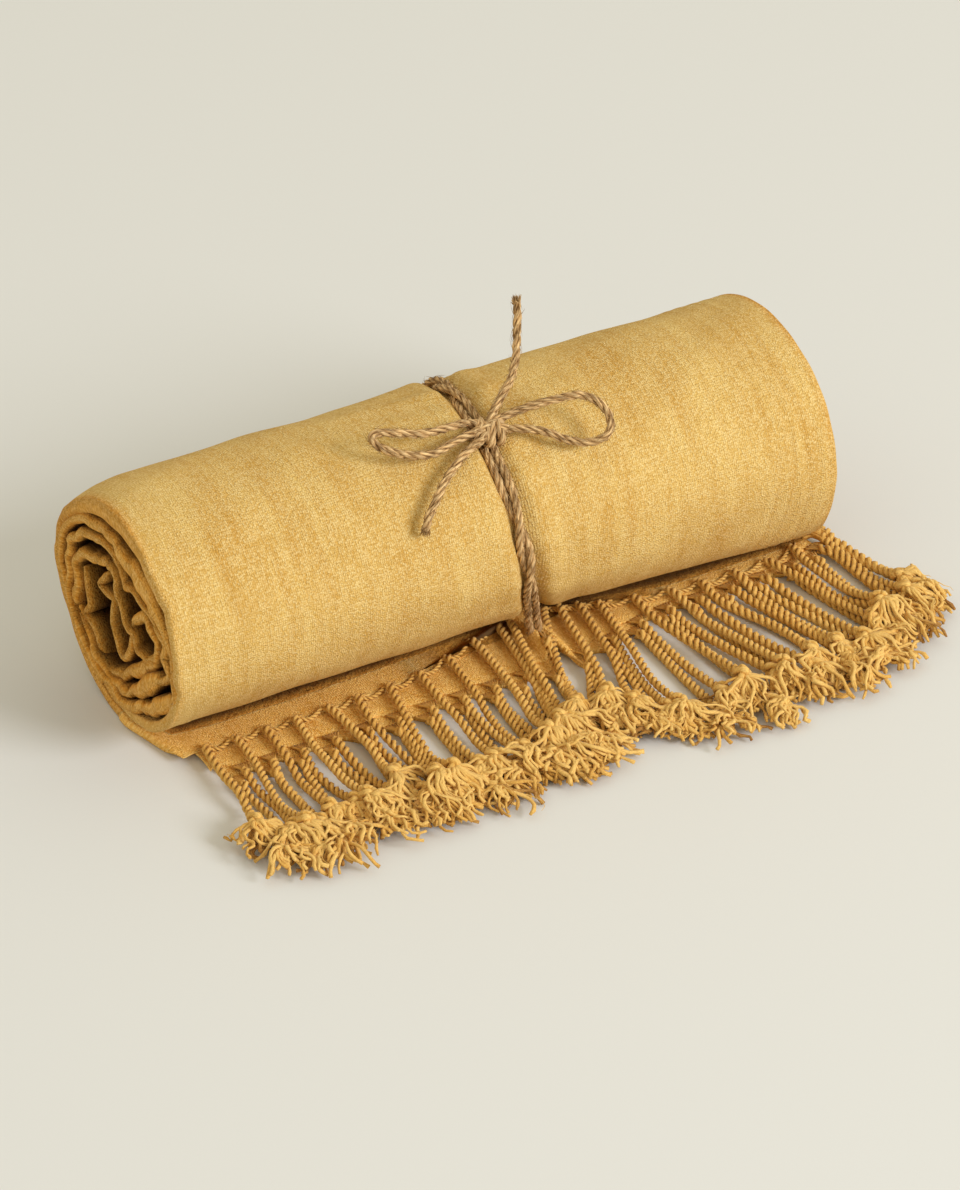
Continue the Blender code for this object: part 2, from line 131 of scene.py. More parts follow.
def deselect_all() -> None:
    """Leave nothing selected, so that an operator works on its own piece only."""
    bpy.ops.object.select_all(action="DESELECT")


def take(piece: bpy.types.Object) -> None:
    """Make a piece the only selected and active one."""
    deselect_all()
    piece.select_set(True)
    bpy.context.view_layer.objects.active = piece


def settle(piece: bpy.types.Object, slot: str, *nodes: str) -> None:
    """Fix a finished piece to the frame.

    Args:
        piece: The finished piece.
        slot: The name of a material slot; not used.
        nodes: The solids that it stands for.
    """
    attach(piece, BODY)
    if nodes:
        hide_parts(*nodes)
    LOG.info("%s: %d faces", piece.name, len(piece.data.polygons))


# ---------------------------------------------------------------- the roll's own geometry
@dataclass(frozen=True)
class RollShape:
    """The spiral in which the folded cloth lies, and the twine's slanted groove around it.

    A turn is an angle from the roll's bottom towards its back (+Y). The sizes are those of the solids.

    Attributes:
        length: The roll's length.
        width: How far it reaches along Y.
        height: How high it stands.
        cloth: The folded cloth's thickness.
        pitch: How much nearer the middle each turn lies.
        sink: How far the roll settles into its flat spot.
        flat_turn: Where the flat spot ends.
        swell_height: How uneven the roll's girth is.
        twine: The twine's thickness.
        gap: The clearance between pieces that touch.
        wrap_middle: Where the twine's turns lie along the roll.
        wrap_slant: How far they slant to each side.
        wrap_lean: The angle above the front where they lie furthest to the left.
        wrap_kick: How far they have slipped to the right, low at the front.
        wrap_kick_angle: Where that slip is greatest.
        wrap_kick_reach: Over what angle it dies away.
        groove_reach: How wide the groove is to the right of the twine.
        groove_reach_left: The same to the left.
    """

    length: float = 450 * MM
    width: float = 164.6 * MM
    height: float = 148.4 * MM
    cloth: float = 6.0 * MM
    pitch: float = 8.6 * MM
    sink: float = 0.8 * MM
    flat_turn: float = math.radians(7.5)
    swell_height: float = 1.2 * MM
    twine: float = 5.2 * MM
    gap: float = 0.3 * MM
    wrap_middle: float = 18 * MM
    wrap_slant: float = 14 * MM
    wrap_lean: float = math.radians(45)
    wrap_kick: float = 9 * MM
    wrap_kick_angle: float = math.radians(-58)
    wrap_kick_reach: float = math.radians(25)
    groove_reach: float = 8.2 * MM
    groove_reach_left: float = 7.6 * MM

    @property
    def end(self) -> float:
        """Half the roll's length."""
        return self.length / 2

    @property
    def groove_depth(self) -> float:
        """How deep the twine presses into the roll."""
        return self.twine + 4 * self.gap

    @property
    def quarter_loss(self) -> float:
        """The share of the radius that the spiral loses in a quarter turn."""
        return self.pitch / 4 / ((self.width + self.height) / 4)

    @property
    def semi_width(self) -> float:
        """The spiral's half width along Y at its start."""
        return (self.width - self.cloth) / (2 - 4 * self.quarter_loss)

    @property
    def semi_height(self) -> float:
        """The spiral's half height at its start."""
        return (self.height - self.cloth + self.sink) / (2 - 2 * self.quarter_loss)

    @property
    def mean_radius(self) -> float:
        """The spiral's mean radius at its start."""
        return (self.semi_width + self.semi_height) / 2

    @property
    def axis_y(self) -> float:
        """The spiral's middle along Y."""
        return -self.quarter_loss * self.semi_width

    @property
    def axis_z(self) -> float:
        """The height of the spiral's middle."""
        return self.semi_height + self.cloth / 2 - self.sink

    def front_angle(self, turn: Array) -> Array:
        """The angle above the front (-Y) at which a turn stands."""
        return (-np.asarray(turn, float) - TURN / 4 + TURN / 2) % TURN - TURN / 2

    def wrap_x(self, angle: Array) -> Array:
        """Where the slanted twine crosses the roll, at an angle above the front."""
        kick = self.wrap_kick * bell(angle - self.wrap_kick_angle, self.wrap_kick_reach)
        return self.wrap_middle - self.wrap_slant * np.cos(angle - self.wrap_lean) + kick

    @property
    def wrap_bottom(self) -> float:
        """Where the twine crosses under the roll."""
        return float(self.wrap_x(self.front_angle(0.0)))

    def groove(self, distance: Array) -> Array:
        """How deep the cloth is pressed at a distance from the twine's middle."""
        distance = np.asarray(distance, float)
        share = np.abs(distance) / np.where(distance < 0, self.groove_reach_left, self.groove_reach)
        return self.groove_depth * np.exp(-(share**4)) * (share < 1.6)

    def swell(self, x: Array, turn: Array) -> Array:
        """The slow unevenness of the roll's girth, which dies away at the twine."""
        calm = 1 - bell(x - self.wrap_x(self.front_angle(turn)), 45 * MM)
        wave = np.sin(TURN * x / (118 * MM) + 1.6 * np.sin(turn)) + 0.5 * np.sin(TURN * x / (61 * MM))
        return -self.swell_height * (0.6 - 0.4 * wave) * calm * np.sin(turn / 2) ** 2

    def sag(self, x: Array, turn: Array) -> Array:
        """How far the outermost turn is pressed in (positive) or hangs out, away from the even spiral."""
        angle = np.degrees(self.front_angle(turn))
        # The left end is flattened at the upper back, and the right part hangs out low at the front.
        near = np.clip(1 - (x + self.end) / (34 * MM), 0, 1) ** 2
        press = 8.5 * MM * near * bell(angle - 132, 34)
        low = smoothstep(x, 34 * MM, 105 * MM) * (3.5 * MM + 4.0 * MM * smoothstep(x, 110 * MM, 210 * MM))
        outer = 1 - smoothstep(np.asarray(turn, float), 1.05 * TURN, 1.35 * TURN)
        return (press - low * bell(angle + 50, 26)) * outer

    def even_place(self, x: Array, turn: Array) -> Array:
        """The middle of the cloth on the even spiral.

        Args:
            x: Places along the roll.
            turn: The turns at those places.

        Returns:
            Points, with their coordinates on the last axis.
        """
        x, turn = np.broadcast_arrays(np.asarray(x, float), np.asarray(turn, float))
        radius = self.mean_radius - self.pitch * turn / TURN
        depth = smoothstep(radius, 25 * MM, 66 * MM)
        press = self.groove(x - self.wrap_x(self.front_angle(turn))) * depth + self.sag(x, turn)
        radius = radius + self.swell(x, turn) * depth
        y = self.axis_y + np.sin(turn) * (radius / self.mean_radius * self.semi_width - press)
        z = self.axis_z - np.cos(turn) * (radius / self.mean_radius * self.semi_height - press)
        z = np.where(turn <= self.flat_turn, self.cloth / 2 + press, z)
        return np.stack([x, y, z], axis=-1)

    def outward(self, x: Array, turn: Array) -> Array:
        """The direction out of the roll, square to the cloth."""
        step = math.radians(4)
        turn = np.asarray(turn, float)
        along = self.even_place(x, turn + step) - self.even_place(x, np.maximum(0.0, turn - step))
        out = np.stack([np.zeros_like(along[..., 0]), along[..., 2], -along[..., 1]], axis=-1)
        flat = np.broadcast_to(turn <= self.flat_turn, out.shape[:-1])[..., None]
        return np.where(flat, np.array([0.0, 0.0, -1.0]), unit(out))

    def over_cloth(self, turn: float, offset: float, rise: float) -> Array:
        """A point above the outermost turn, beside the middle of the slanted twine."""
        x = float(self.wrap_x(self.front_angle(turn))) + offset
        return self.even_place(x, turn) + self.outward(x, turn) * (self.cloth / 2 + rise)


ROLL = RollShape()


class Layer(Enum):
    """The three layers of the loose end whose edges show."""

    UPPER = "upper"
    MIDDLE = "middle"
    LOWER = "lower"


@dataclass(frozen=True)
class LayerEdge:
    """One layer's edge at the loose end, and its row of cords.

    Attributes:
        layer: Which layer it is.
        reach: How far in front of the roll's middle the edge lies.
        gathered: The same beside the twine, which draws the edge back.
        gather: How far along the edge that dies away.
        top: The height of the layer's top.
        first: Where the first cord starts.
        cords: How many evenly spaced cords there are.
        knots: How much further out the knots lie than the upper row's.
        heap: How high the knots and tufts are heaped.
        closing: How much closer the edge lies at the right.
        crowded: Where further cords start: by the twine and at the right corner.
        trim: How far from the roll's left end its own cloth starts.
        thickness: How thick that cloth is.
        shows: How much of its depth there is.
    """

    layer: Layer
    reach: float
    gathered: float
    gather: float
    top: float
    first: float
    cords: int
    knots: float
    heap: float
    closing: float
    crowded: tuple[float, ...]
    trim: float = 0.0
    thickness: float = 0.0
    shows: float = 0.0

    def y(self, x: Array) -> Array:
        """Where the edge lies at x: the twine gathers it back, and the layers close up past it."""
        reach = self.reach - self.closing * smoothstep(x, 30 * MM, 115 * MM)
        # The right corner is folded back.
        reach = reach - 11 * MM * smoothstep(x, 190 * MM, 226 * MM)
        pull = (reach - self.gathered) * bell(x - ROLL.wrap_bottom, self.gather)
        return -reach + pull

    def roots(self, pitch: float, clearance: float) -> list[float]:
        """Where the row's cords start, but for those that the twine would cross."""
        places = [self.first + pitch * i for i in range(self.cords)]
        return sorted([x for x in places if abs(x - ROLL.wrap_bottom) > clearance] + list(self.crowded))


EDGES = {
    edge.layer: edge
    for edge in (
        LayerEdge(
            Layer.UPPER, reach=60 * MM, gathered=33 * MM, gather=60 * MM, top=6.0 * MM, first=-204.9 * MM,
            cords=21, knots=0.0, heap=10.4 * MM, closing=2 * MM,
            crowded=(22.5 * MM, 46.5 * MM, 66 * MM, 233.5 * MM),
        ),
        LayerEdge(
            Layer.MIDDLE, reach=82 * MM, gathered=54 * MM, gather=5.5 * MM, top=4.5 * MM, first=-192.3 * MM,
            cords=20, knots=7 * MM, heap=5.2 * MM, closing=18 * MM, crowded=(232 * MM,),
            trim=13 * MM, thickness=1.5 * MM, shows=0.034,
        ),
        LayerEdge(
            Layer.LOWER, reach=90 * MM, gathered=58 * MM, gather=5.5 * MM, top=3.0 * MM, first=-198.9 * MM,
            cords=20, knots=16 * MM, heap=0.0, closing=22 * MM, crowded=(28 * MM,),
            trim=19 * MM, thickness=3.0 * MM, shows=0.040,
        ),
    )
}
ROOT_PITCH = 21.7 * MM
TWINE_CLEARANCE = 5.0 * MM
SLIDE_START = 12 * MM
SLIDE_SLOPE = 0.36
SLIDE_LIMIT = 18 * MM


def shear(x: Array, y: Array) -> Array:
    """How far the loose end has slid along the roll, more the further it reaches."""
    slide = np.minimum(SLIDE_LIMIT, SLIDE_SLOPE * np.maximum(0.0, -y - SLIDE_START))
    # Both ends slide outwards, the right one less.
    return slide * (x / ROLL.end) ** 4 * np.where(x > 0, 0.5, 0.75)


# ---------------------------------------------------------------- finishes
def set_inputs(node: bpy.types.Node, values: dict[str, object]) -> None:
    """Set a node's own sockets to plain values, by name."""
    for name, value in values.items():
        node.inputs[name].default_value = value


class Nodes:
    """A small helper that adds nodes to a tree and joins them."""

    def __init__(self, tree: bpy.types.NodeTree) -> None:
        """Keep the tree that the nodes go into."""
        self.tree = tree

    def add(self, kind: str, **settings: object) -> bpy.types.Node:
        """Add a node and set its own properties.

        Args:
            kind: The node's type.
            settings: Its properties by name.

        Returns:
            The node.
        """
        node = self.tree.nodes.new(kind)
        for name, value in settings.items():
            setattr(node, name, value)
        return node

    def feed(self, socket: Socket, value: object) -> None:
        """Join an output to a socket, or set the socket to a plain value."""
        if isinstance(value, Socket):
            self.tree.links.new(value, socket)
        else:
            socket.default_value = value

    def math(self, operation: str, *values: object) -> Socket:
        """The result of a Math node on sockets or numbers."""
        node = self.add("ShaderNodeMath", operation=operation)
        for socket, value in zip(node.inputs, values):
            self.feed(socket, value)
        return node.outputs[0]

    def plus(self, first: object, second: object) -> Socket:
        """The sum of two sockets or numbers."""
        return self.math("ADD", first, second)

    def times(self, first: object, second: object) -> Socket:
        """The product of two sockets or numbers."""
        return self.math("MULTIPLY", first, second)

    def lack(self, value: object) -> Socket:
        """How much a value falls short of one."""
        return self.math("SUBTRACT", 1.0, value)

    def mix(self, share: object, first: object, second: object, blend: str = "MIX") -> Socket:
        """Two colours mixed by a share."""
        node = self.add("ShaderNodeMix", data_type="RGBA", blend_type=blend)
        self.feed(node.inputs[0], share)
        self.feed(node.inputs[6], first)
        self.feed(node.inputs[7], second)
        return node.outputs[2]

    def noise(
        self, vector: object, scale: float, detail: float = 2.0, roughness: float = 0.5
    ) -> Socket:
        """A noise value from 0 to 1."""
        node = self.add("ShaderNodeTexNoise")
        self.feed(node.inputs["Vector"], vector)
        set_inputs(node, {"Scale": scale, "Detail": detail, "Roughness": roughness})
        return node.outputs["Fac"]

    def stretch(self, vector: object, scale: tuple[float, float, float]) -> Socket:
        """A vector scaled along each of its axes."""
        node = self.add("ShaderNodeMapping")
        self.feed(node.inputs["Vector"], vector)
        node.inputs["Scale"].default_value = scale
        return node.outputs["Vector"]

    def ramp(self, value: object, low: float, high: float) -> Socket:
        """A value spread from low..high to 0..1."""
        node = self.add("ShaderNodeMapRange")
        self.feed(node.inputs["Value"], value)
        set_inputs(node, {"From Min": low, "From Max": high})
        return node.outputs["Result"]

    def bump(
        self, height: Socket, strength: float, depth: float,
        over: Socket | None = None,
    ) -> Socket:
        """A bumpy surface's direction.

        Args:
            height: How high the surface stands.
            strength: How strongly the bumps show.
            depth: How deep they are.
            over: The direction of a bumpy surface that these bumps lie on.

        Returns:
            The direction.
        """
        node = self.add("ShaderNodeBump")
        set_inputs(node, {"Strength": strength, "Distance": depth})
        self.feed(node.inputs["Height"], height)
        if over is not None:
            self.feed(node.inputs["Normal"], over)
        return node.outputs[0]


def new_material(name: str) -> tuple[bpy.types.Material, Nodes, bpy.types.Node]:
    """A material with a plain shader.

    Args:
        name: The material's name.

    Returns:
        The material, a helper for its nodes, and its shader.
    """
    material = bpy.data.materials.new(name)
    material.use_nodes = True
    return material, Nodes(material.node_tree), material.node_tree.nodes["Principled BSDF"]


def new_group(
    name: str, inputs: dict[str, tuple[str, float]], outputs: dict[str, str]
) -> bpy.types.NodeTree:
    """An empty shader node group with named sockets.

    Args:
        name: The group's name.
        inputs: Each input's socket type and default, by name.
        outputs: Each output's socket type, by name.

    Returns:
        The group, with its input and output nodes.
    """
    group = bpy.data.node_groups.new(name, "ShaderNodeTree")
    for label, (kind, value) in inputs.items():
        socket = group.interface.new_socket(label, in_out="INPUT", socket_type=kind)
        if kind == "NodeSocketFloat":
            socket.default_value = value
    for label, kind in outputs.items():
        group.interface.new_socket(label, in_out="OUTPUT", socket_type=kind)
    group.nodes.new("NodeGroupInput")
    group.nodes.new("NodeGroupOutput")
    return group


def weave_group() -> bpy.types.NodeTree:
    """A plain weave of velvety yarns: each crossing is a small soft cushion of its own tone."""
    group = new_group(
        "plain_weave",
        {"Place": ("NodeSocketVector", 0.0), "Unevenness": ("NodeSocketFloat", 0.5)},
        {"Height": "NodeSocketFloat", "Crown": "NodeSocketFloat", "Tone": "NodeSocketFloat"},
    )
    make = Nodes(group)
    entry, leave = group.nodes["Group Input"], group.nodes["Group Output"]
    stretched = make.stretch(entry.outputs["Place"], (780.0, 640.0, 1.0))
    wander = make.add("ShaderNodeTexNoise", noise_dimensions="2D")
    make.feed(wander.inputs["Vector"], make.stretch(entry.outputs["Place"], (400.0, 260.0, 1.0)))
    wander.inputs["Scale"].default_value = 1.0
    shift = make.add("ShaderNodeVectorMath", operation="MULTIPLY_ADD")
    make.feed(shift.inputs[0], wander.outputs["Color"])
    shift.inputs[1].default_value = (0.8, 0.8, 0.0)
    make.feed(shift.inputs[2], stretched)
    cells = make.add("ShaderNodeTexVoronoi", voronoi_dimensions="2D", feature="F1")
    make.feed(cells.inputs["Vector"], shift.outputs[0])
    cells.inputs["Scale"].default_value = 1.0
    make.feed(cells.inputs["Randomness"], entry.outputs["Unevenness"])
    crown = make.lack(make.math("POWER", cells.outputs["Distance"], 1.4))
    tone = make.add("ShaderNodeSeparateColor")
    make.feed(tone.inputs[0], cells.outputs["Color"])
    nap = make.noise(make.stretch(entry.outputs["Place"], (950.0, 650.0, 1.0)), 1.0, 2.0, 0.8)
    slubs = make.noise(make.stretch(entry.outputs["Place"], (520.0, 100.0, 1.0)), 1.0, 2.0, 0.6)
    height = make.plus(make.times(crown, 0.7), make.times(nap, 1.1))
    make.feed(leave.inputs["Height"], make.plus(height, make.times(slubs, 0.4)))
    # Crown: how high each cushion stands; the cloth uses it for painted shade in the gaps.
    raised = make.plus(crown, make.times(nap, 0.8))
    make.feed(leave.inputs["Crown"], make.ramp(raised, 0.80, 1.30))
    mixed = make.plus(make.times(tone.outputs[0], 0.45), make.times(slubs, 0.5))
    mottled = make.plus(mixed, make.times(nap, 0.9))
    make.feed(leave.inputs["Tone"], make.ramp(mottled, 0.72, 1.15))
    return group


def fibre_group() -> bpy.types.NodeTree:
    """Fibres that run along a yarn: their height, and a streaky mask."""
    group = new_group(
        "yarn_fibres",
        {
            "Place": ("NodeSocketVector", 0.0),
            "Fineness": ("NodeSocketFloat", 1.0),
            "Length": ("NodeSocketFloat", 1.0),
        },
        {"Height": "NodeSocketFloat", "Streak": "NodeSocketFloat"},
    )
    make = Nodes(group)
    entry, leave = group.nodes["Group Input"], group.nodes["Group Output"]
    split = make.add("ShaderNodeSeparateXYZ")
    make.feed(split.inputs[0], entry.outputs["Place"])
    joined = make.add("ShaderNodeCombineXYZ")
    along = make.times(split.outputs["X"], make.times(entry.outputs["Length"], 260.0))
    around = make.times(split.outputs["Y"], make.times(entry.outputs["Fineness"], 5.0))
    make.feed(joined.inputs[0], along)
    make.feed(joined.inputs[1], make.plus(around, make.times(along, 0.35)))
    fine = make.noise(joined.outputs[0], 2.6, 3.0, 0.7)
    broad = make.noise(joined.outputs[0], 0.8, 1.0, 0.5)
    lower = make.times(broad, 0.3)
    make.feed(leave.inputs["Height"], make.plus(make.times(fine, 0.7), lower))
    make.feed(leave.inputs["Streak"], make.ramp(fine, 0.33, 0.67))
    return group


@dataclass(frozen=True)
class ChenilleFinish:
    """The cloth: velvety threads in a plain weave, streaky round the roll, with painted shade in its folds.
    """

    name: str
    base: Colour
    deep: Colour
    pale: Colour
    # hollow is painted shade deep in the folds, glow painted warm bounce light there, lift painted light on
    # the loose end.
    hollow: Colour
    glow: Colour
    lift: Colour
    thread: Colour
    bump: float = 1.0
    # How strongly the palest threads, the painted shade between them, the worn patches and pulled threads
    # show.
    paleness: float = 0.62
    shading: float = 0.7
    wearing: float = 0.30
    pulling: float = 0.75
    weave_depth: float = 1.0 * MM
    crumple_depth: float = 4.5 * MM
    sheen: float = 0.02
    # Pulled threads that run round the roll: place along it in metres and how strongly they show.
    pulled: tuple[tuple[float, float], ...] = (
        (0.1685, 0.5), (0.1760, 0.9), (0.1792, 0.5), (0.1862, 0.9), (0.2060, 0.6), (-0.0900, 0.4),
    )

    def build(self, weave: bpy.types.NodeTree) -> bpy.types.Material:
        """Make the material.

        Args:
            weave: The weave's node group.

        Returns:
            The material.
        """
        material, make, shader = new_material(self.name)
        place = make.add("ShaderNodeUVMap", uv_map="UVMap").outputs["UV"]
        woven = make.add("ShaderNodeGroup", node_tree=weave)
        make.feed(woven.inputs["Place"], place)
        streaks = make.noise(make.stretch(place, (120.0, 9.0, 1.0)), 1.0, 4.0, 0.65)
        patches = make.noise(make.stretch(place, (22.0, 14.0, 1.0)), 1.0, 3.0, 0.55)
        uneven = make.plus(make.times(streaks, 0.55), make.times(patches, 0.45))
        tone = make.mix(make.ramp(uneven, 0.36, 0.60), (*self.deep, 1), (*self.base, 1))
        wear = make.ramp(make.noise(make.stretch(place, (48.0, 13.0, 1.0)), 1.0, 3.0, 0.6), 0.56, 0.74)
        stitch = make.mix(make.times(woven.outputs["Tone"], self.paleness), tone, (*self.pale, 1))
        # Painted shade in the gaps between the weave's cushions.
        shade = make.times(make.lack(woven.outputs["Crown"]), self.shading)
        shaded = make.mix(shade, stitch, (*self.deep, 1))
        tone_and_shade = make.mix(make.times(wear, self.wearing), shaded, (*self.deep, 1))
        cloth = make.mix(make.times(self.threads(make, place), self.pulling), tone_and_shade, (*self.thread, 1))
        # The open_air attribute paints light and shade: painted shade and a warm painted bounce deep in the
        # folds, and painted light above one.
        open_air = make.add("ShaderNodeAttribute", attribute_name="open_air").outputs["Fac"]
        warmth = make.mix(make.ramp(open_air, 0.84, 0.99), (*self.glow, 1), (1, 1, 1, 1))
        lifted = make.mix(make.ramp(open_air, 1.0, 1.1), warmth, (*self.lift, 1))
        warm = make.mix(1.0, cloth, lifted, "MULTIPLY")
        colour = make.mix(make.ramp(open_air, 0.10, 0.88), (*self.hollow, 1), warm)
        make.feed(shader.inputs["Base Color"], colour)
        weave_bumps = make.bump(woven.outputs["Height"], self.bump, self.weave_depth)
        crumple = make.noise(make.stretch(place, (230.0, 210.0, 1.0)), 1.0, 4.0, 0.65)
        folded = make.lack(make.ramp(open_air, 0.88, 0.97))
        pinched = make.times(make.math("SUBTRACT", crumple, 0.5), folded)
        make.feed(shader.inputs["Normal"], make.bump(pinched, 0.9, self.crumple_depth, weave_bumps))
        set_inputs(shader, {
            "Roughness": 0.95, "Specular IOR Level": 0.1,
            "Sheen Weight": self.sheen, "Sheen Roughness": 0.5, "Sheen Tint": (1.0, 0.9, 0.7, 1),
        })
        return material

    def threads(self, make: Nodes, place: Socket) -> Socket:
        """Where the cloth's pulled threads show.

        Args:
            make: The material's nodes.
            place: The place on the cloth.

        Returns:
            The mask.
        """
        parts = make.add("ShaderNodeSeparateXYZ")
        make.feed(parts.inputs[0], place)
        lean = make.times(make.math("SUBTRACT", parts.outputs[1], 0.424), 0.10)
        wander = make.times(make.noise(make.stretch(place, (6.0, 30.0, 1.0)), 1.0, 2.0), 0.003)
        across = make.plus(make.plus(parts.outputs[0], lean), wander)
        mask = 0.0
        for spot, strength in self.pulled:
            apart = make.math("ABSOLUTE", make.math("SUBTRACT", across, spot + 0.0015))
            thread = make.lack(make.ramp(apart, 0.0004, 0.0017))
            mask = make.math("MAXIMUM", mask, make.times(thread, strength))
        broken = make.ramp(make.noise(make.stretch(place, (40.0, 16.0, 1.0)), 1.0, 2.0), 0.36, 0.56)
        low = make.plus(0.30, make.times(0.7, make.ramp(parts.outputs[1], 0.41, 0.49)))
        return make.times(make.times(mask, broken), low)


@dataclass(frozen=True)
class YarnFinish:
    """A yarn or twine: streaky fibres along it, with painted shade between them, each strand with a tint of
    its own.
    """

    name: str
    base: Colour
    deep: Colour
    pale: Colour
    fineness: float = 1.0
    length: float = 1.0
    bump: float = 0.6
    fibre_depth: float = 0.35 * MM
    sheen: float = 0.12
    # How dark the painted shade in the gaps between the fibres is.
    gaps: float = 0.45

    def build(self, fibres: bpy.types.NodeTree) -> bpy.types.Material:
        """Make the material.

        Args:
            fibres: The fibres' node group.

        Returns:
            The material.
        """
        material, make, shader = new_material(self.name)
        place = make.add("ShaderNodeUVMap", uv_map="UVMap").outputs["UV"]
        spun = make.add("ShaderNodeGroup", node_tree=fibres)
        make.feed(spun.inputs["Place"], place)
        set_inputs(spun, {"Fineness": self.fineness, "Length": self.length})
        # The tint carries each strand's own tone and also its painted shade and highlight.
        tint = make.add("ShaderNodeAttribute", attribute_name="tint").outputs["Fac"]
        tone = make.mix(make.ramp(tint, 0.0, 0.5), (*self.deep, 1), (*self.base, 1))
        bright = make.mix(make.ramp(tint, 0.5, 1.0), tone, (*self.pale, 1))
        streaky = make.mix(make.times(spun.outputs["Streak"], 0.5), bright, (*self.pale, 1))
        # Painted shade in the gaps between the fibres.
        gaps = make.times(make.lack(spun.outputs["Streak"]), self.gaps)
        make.feed(shader.inputs["Base Color"], make.mix(gaps, streaky, (*self.deep, 1)))
        make.feed(shader.inputs["Normal"], make.bump(spun.outputs["Height"], self.bump, self.fibre_depth))
        set_inputs(shader, {
            "Roughness": 0.9, "Specular IOR Level": 0.15,
            "Sheen Weight": self.sheen, "Sheen Roughness": 0.5, "Sheen Tint": (1.0, 0.88, 0.65, 1),
        })
        return material


@dataclass
class Finishes:
    """Every finish of the bedspread, built once."""

    cloth: bpy.types.Material = field(init=False)
    fringe: bpy.types.Material = field(init=False)
    jute: bpy.types.Material = field(init=False)

    def __post_init__(self) -> None:
        """Build the two node groups and the materials that use them."""
        weave, fibres = weave_group(), fibre_group()
        self.cloth = ChenilleFinish(
            "ochre_chenille",
            base=(0.775, 0.525, 0.158), deep=(0.580, 0.305, 0.052), pale=(0.930, 0.720, 0.320),
            # hollow, glow and lift paint shade in the folds, warm bounce light there and light on the loose
            # end.
            hollow=(0.060, 0.018, 0.002), glow=(1.09, 0.78, 0.40), lift=(1.38, 1.18, 0.84),
            thread=(0.480, 0.225, 0.030),
        ).build(weave)
        self.fringe = YarnFinish(
            "ochre_yarn",
            base=(0.740, 0.392, 0.066), deep=(0.225, 0.066, 0.006), pale=(0.910, 0.590, 0.170)
        ).build(fibres)
        self.jute = YarnFinish(
            "natural_jute",
            base=(0.680, 0.355, 0.106), deep=(0.055, 0.018, 0.005), pale=(0.980, 0.680, 0.320),
            # The jute's fibres get strong painted shade between them.
            fineness=0.5, length=0.16, bump=1.0, sheen=0.0, gaps=0.92,
        ).build(fibres)


# ---------------------------------------------------------------- strands
def store(mesh: bpy.types.Mesh, name: str, values: Array) -> None:
    """Keep a number for each of a mesh's points, for its material.

    Args:
        mesh: The mesh.
        name: The attribute's name.
        values: The numbers.
    """
    mesh.attributes.new(name, "FLOAT", "POINT")
    mesh.attributes[name].data.foreach_set("value", values.astype(np.float32).ravel())


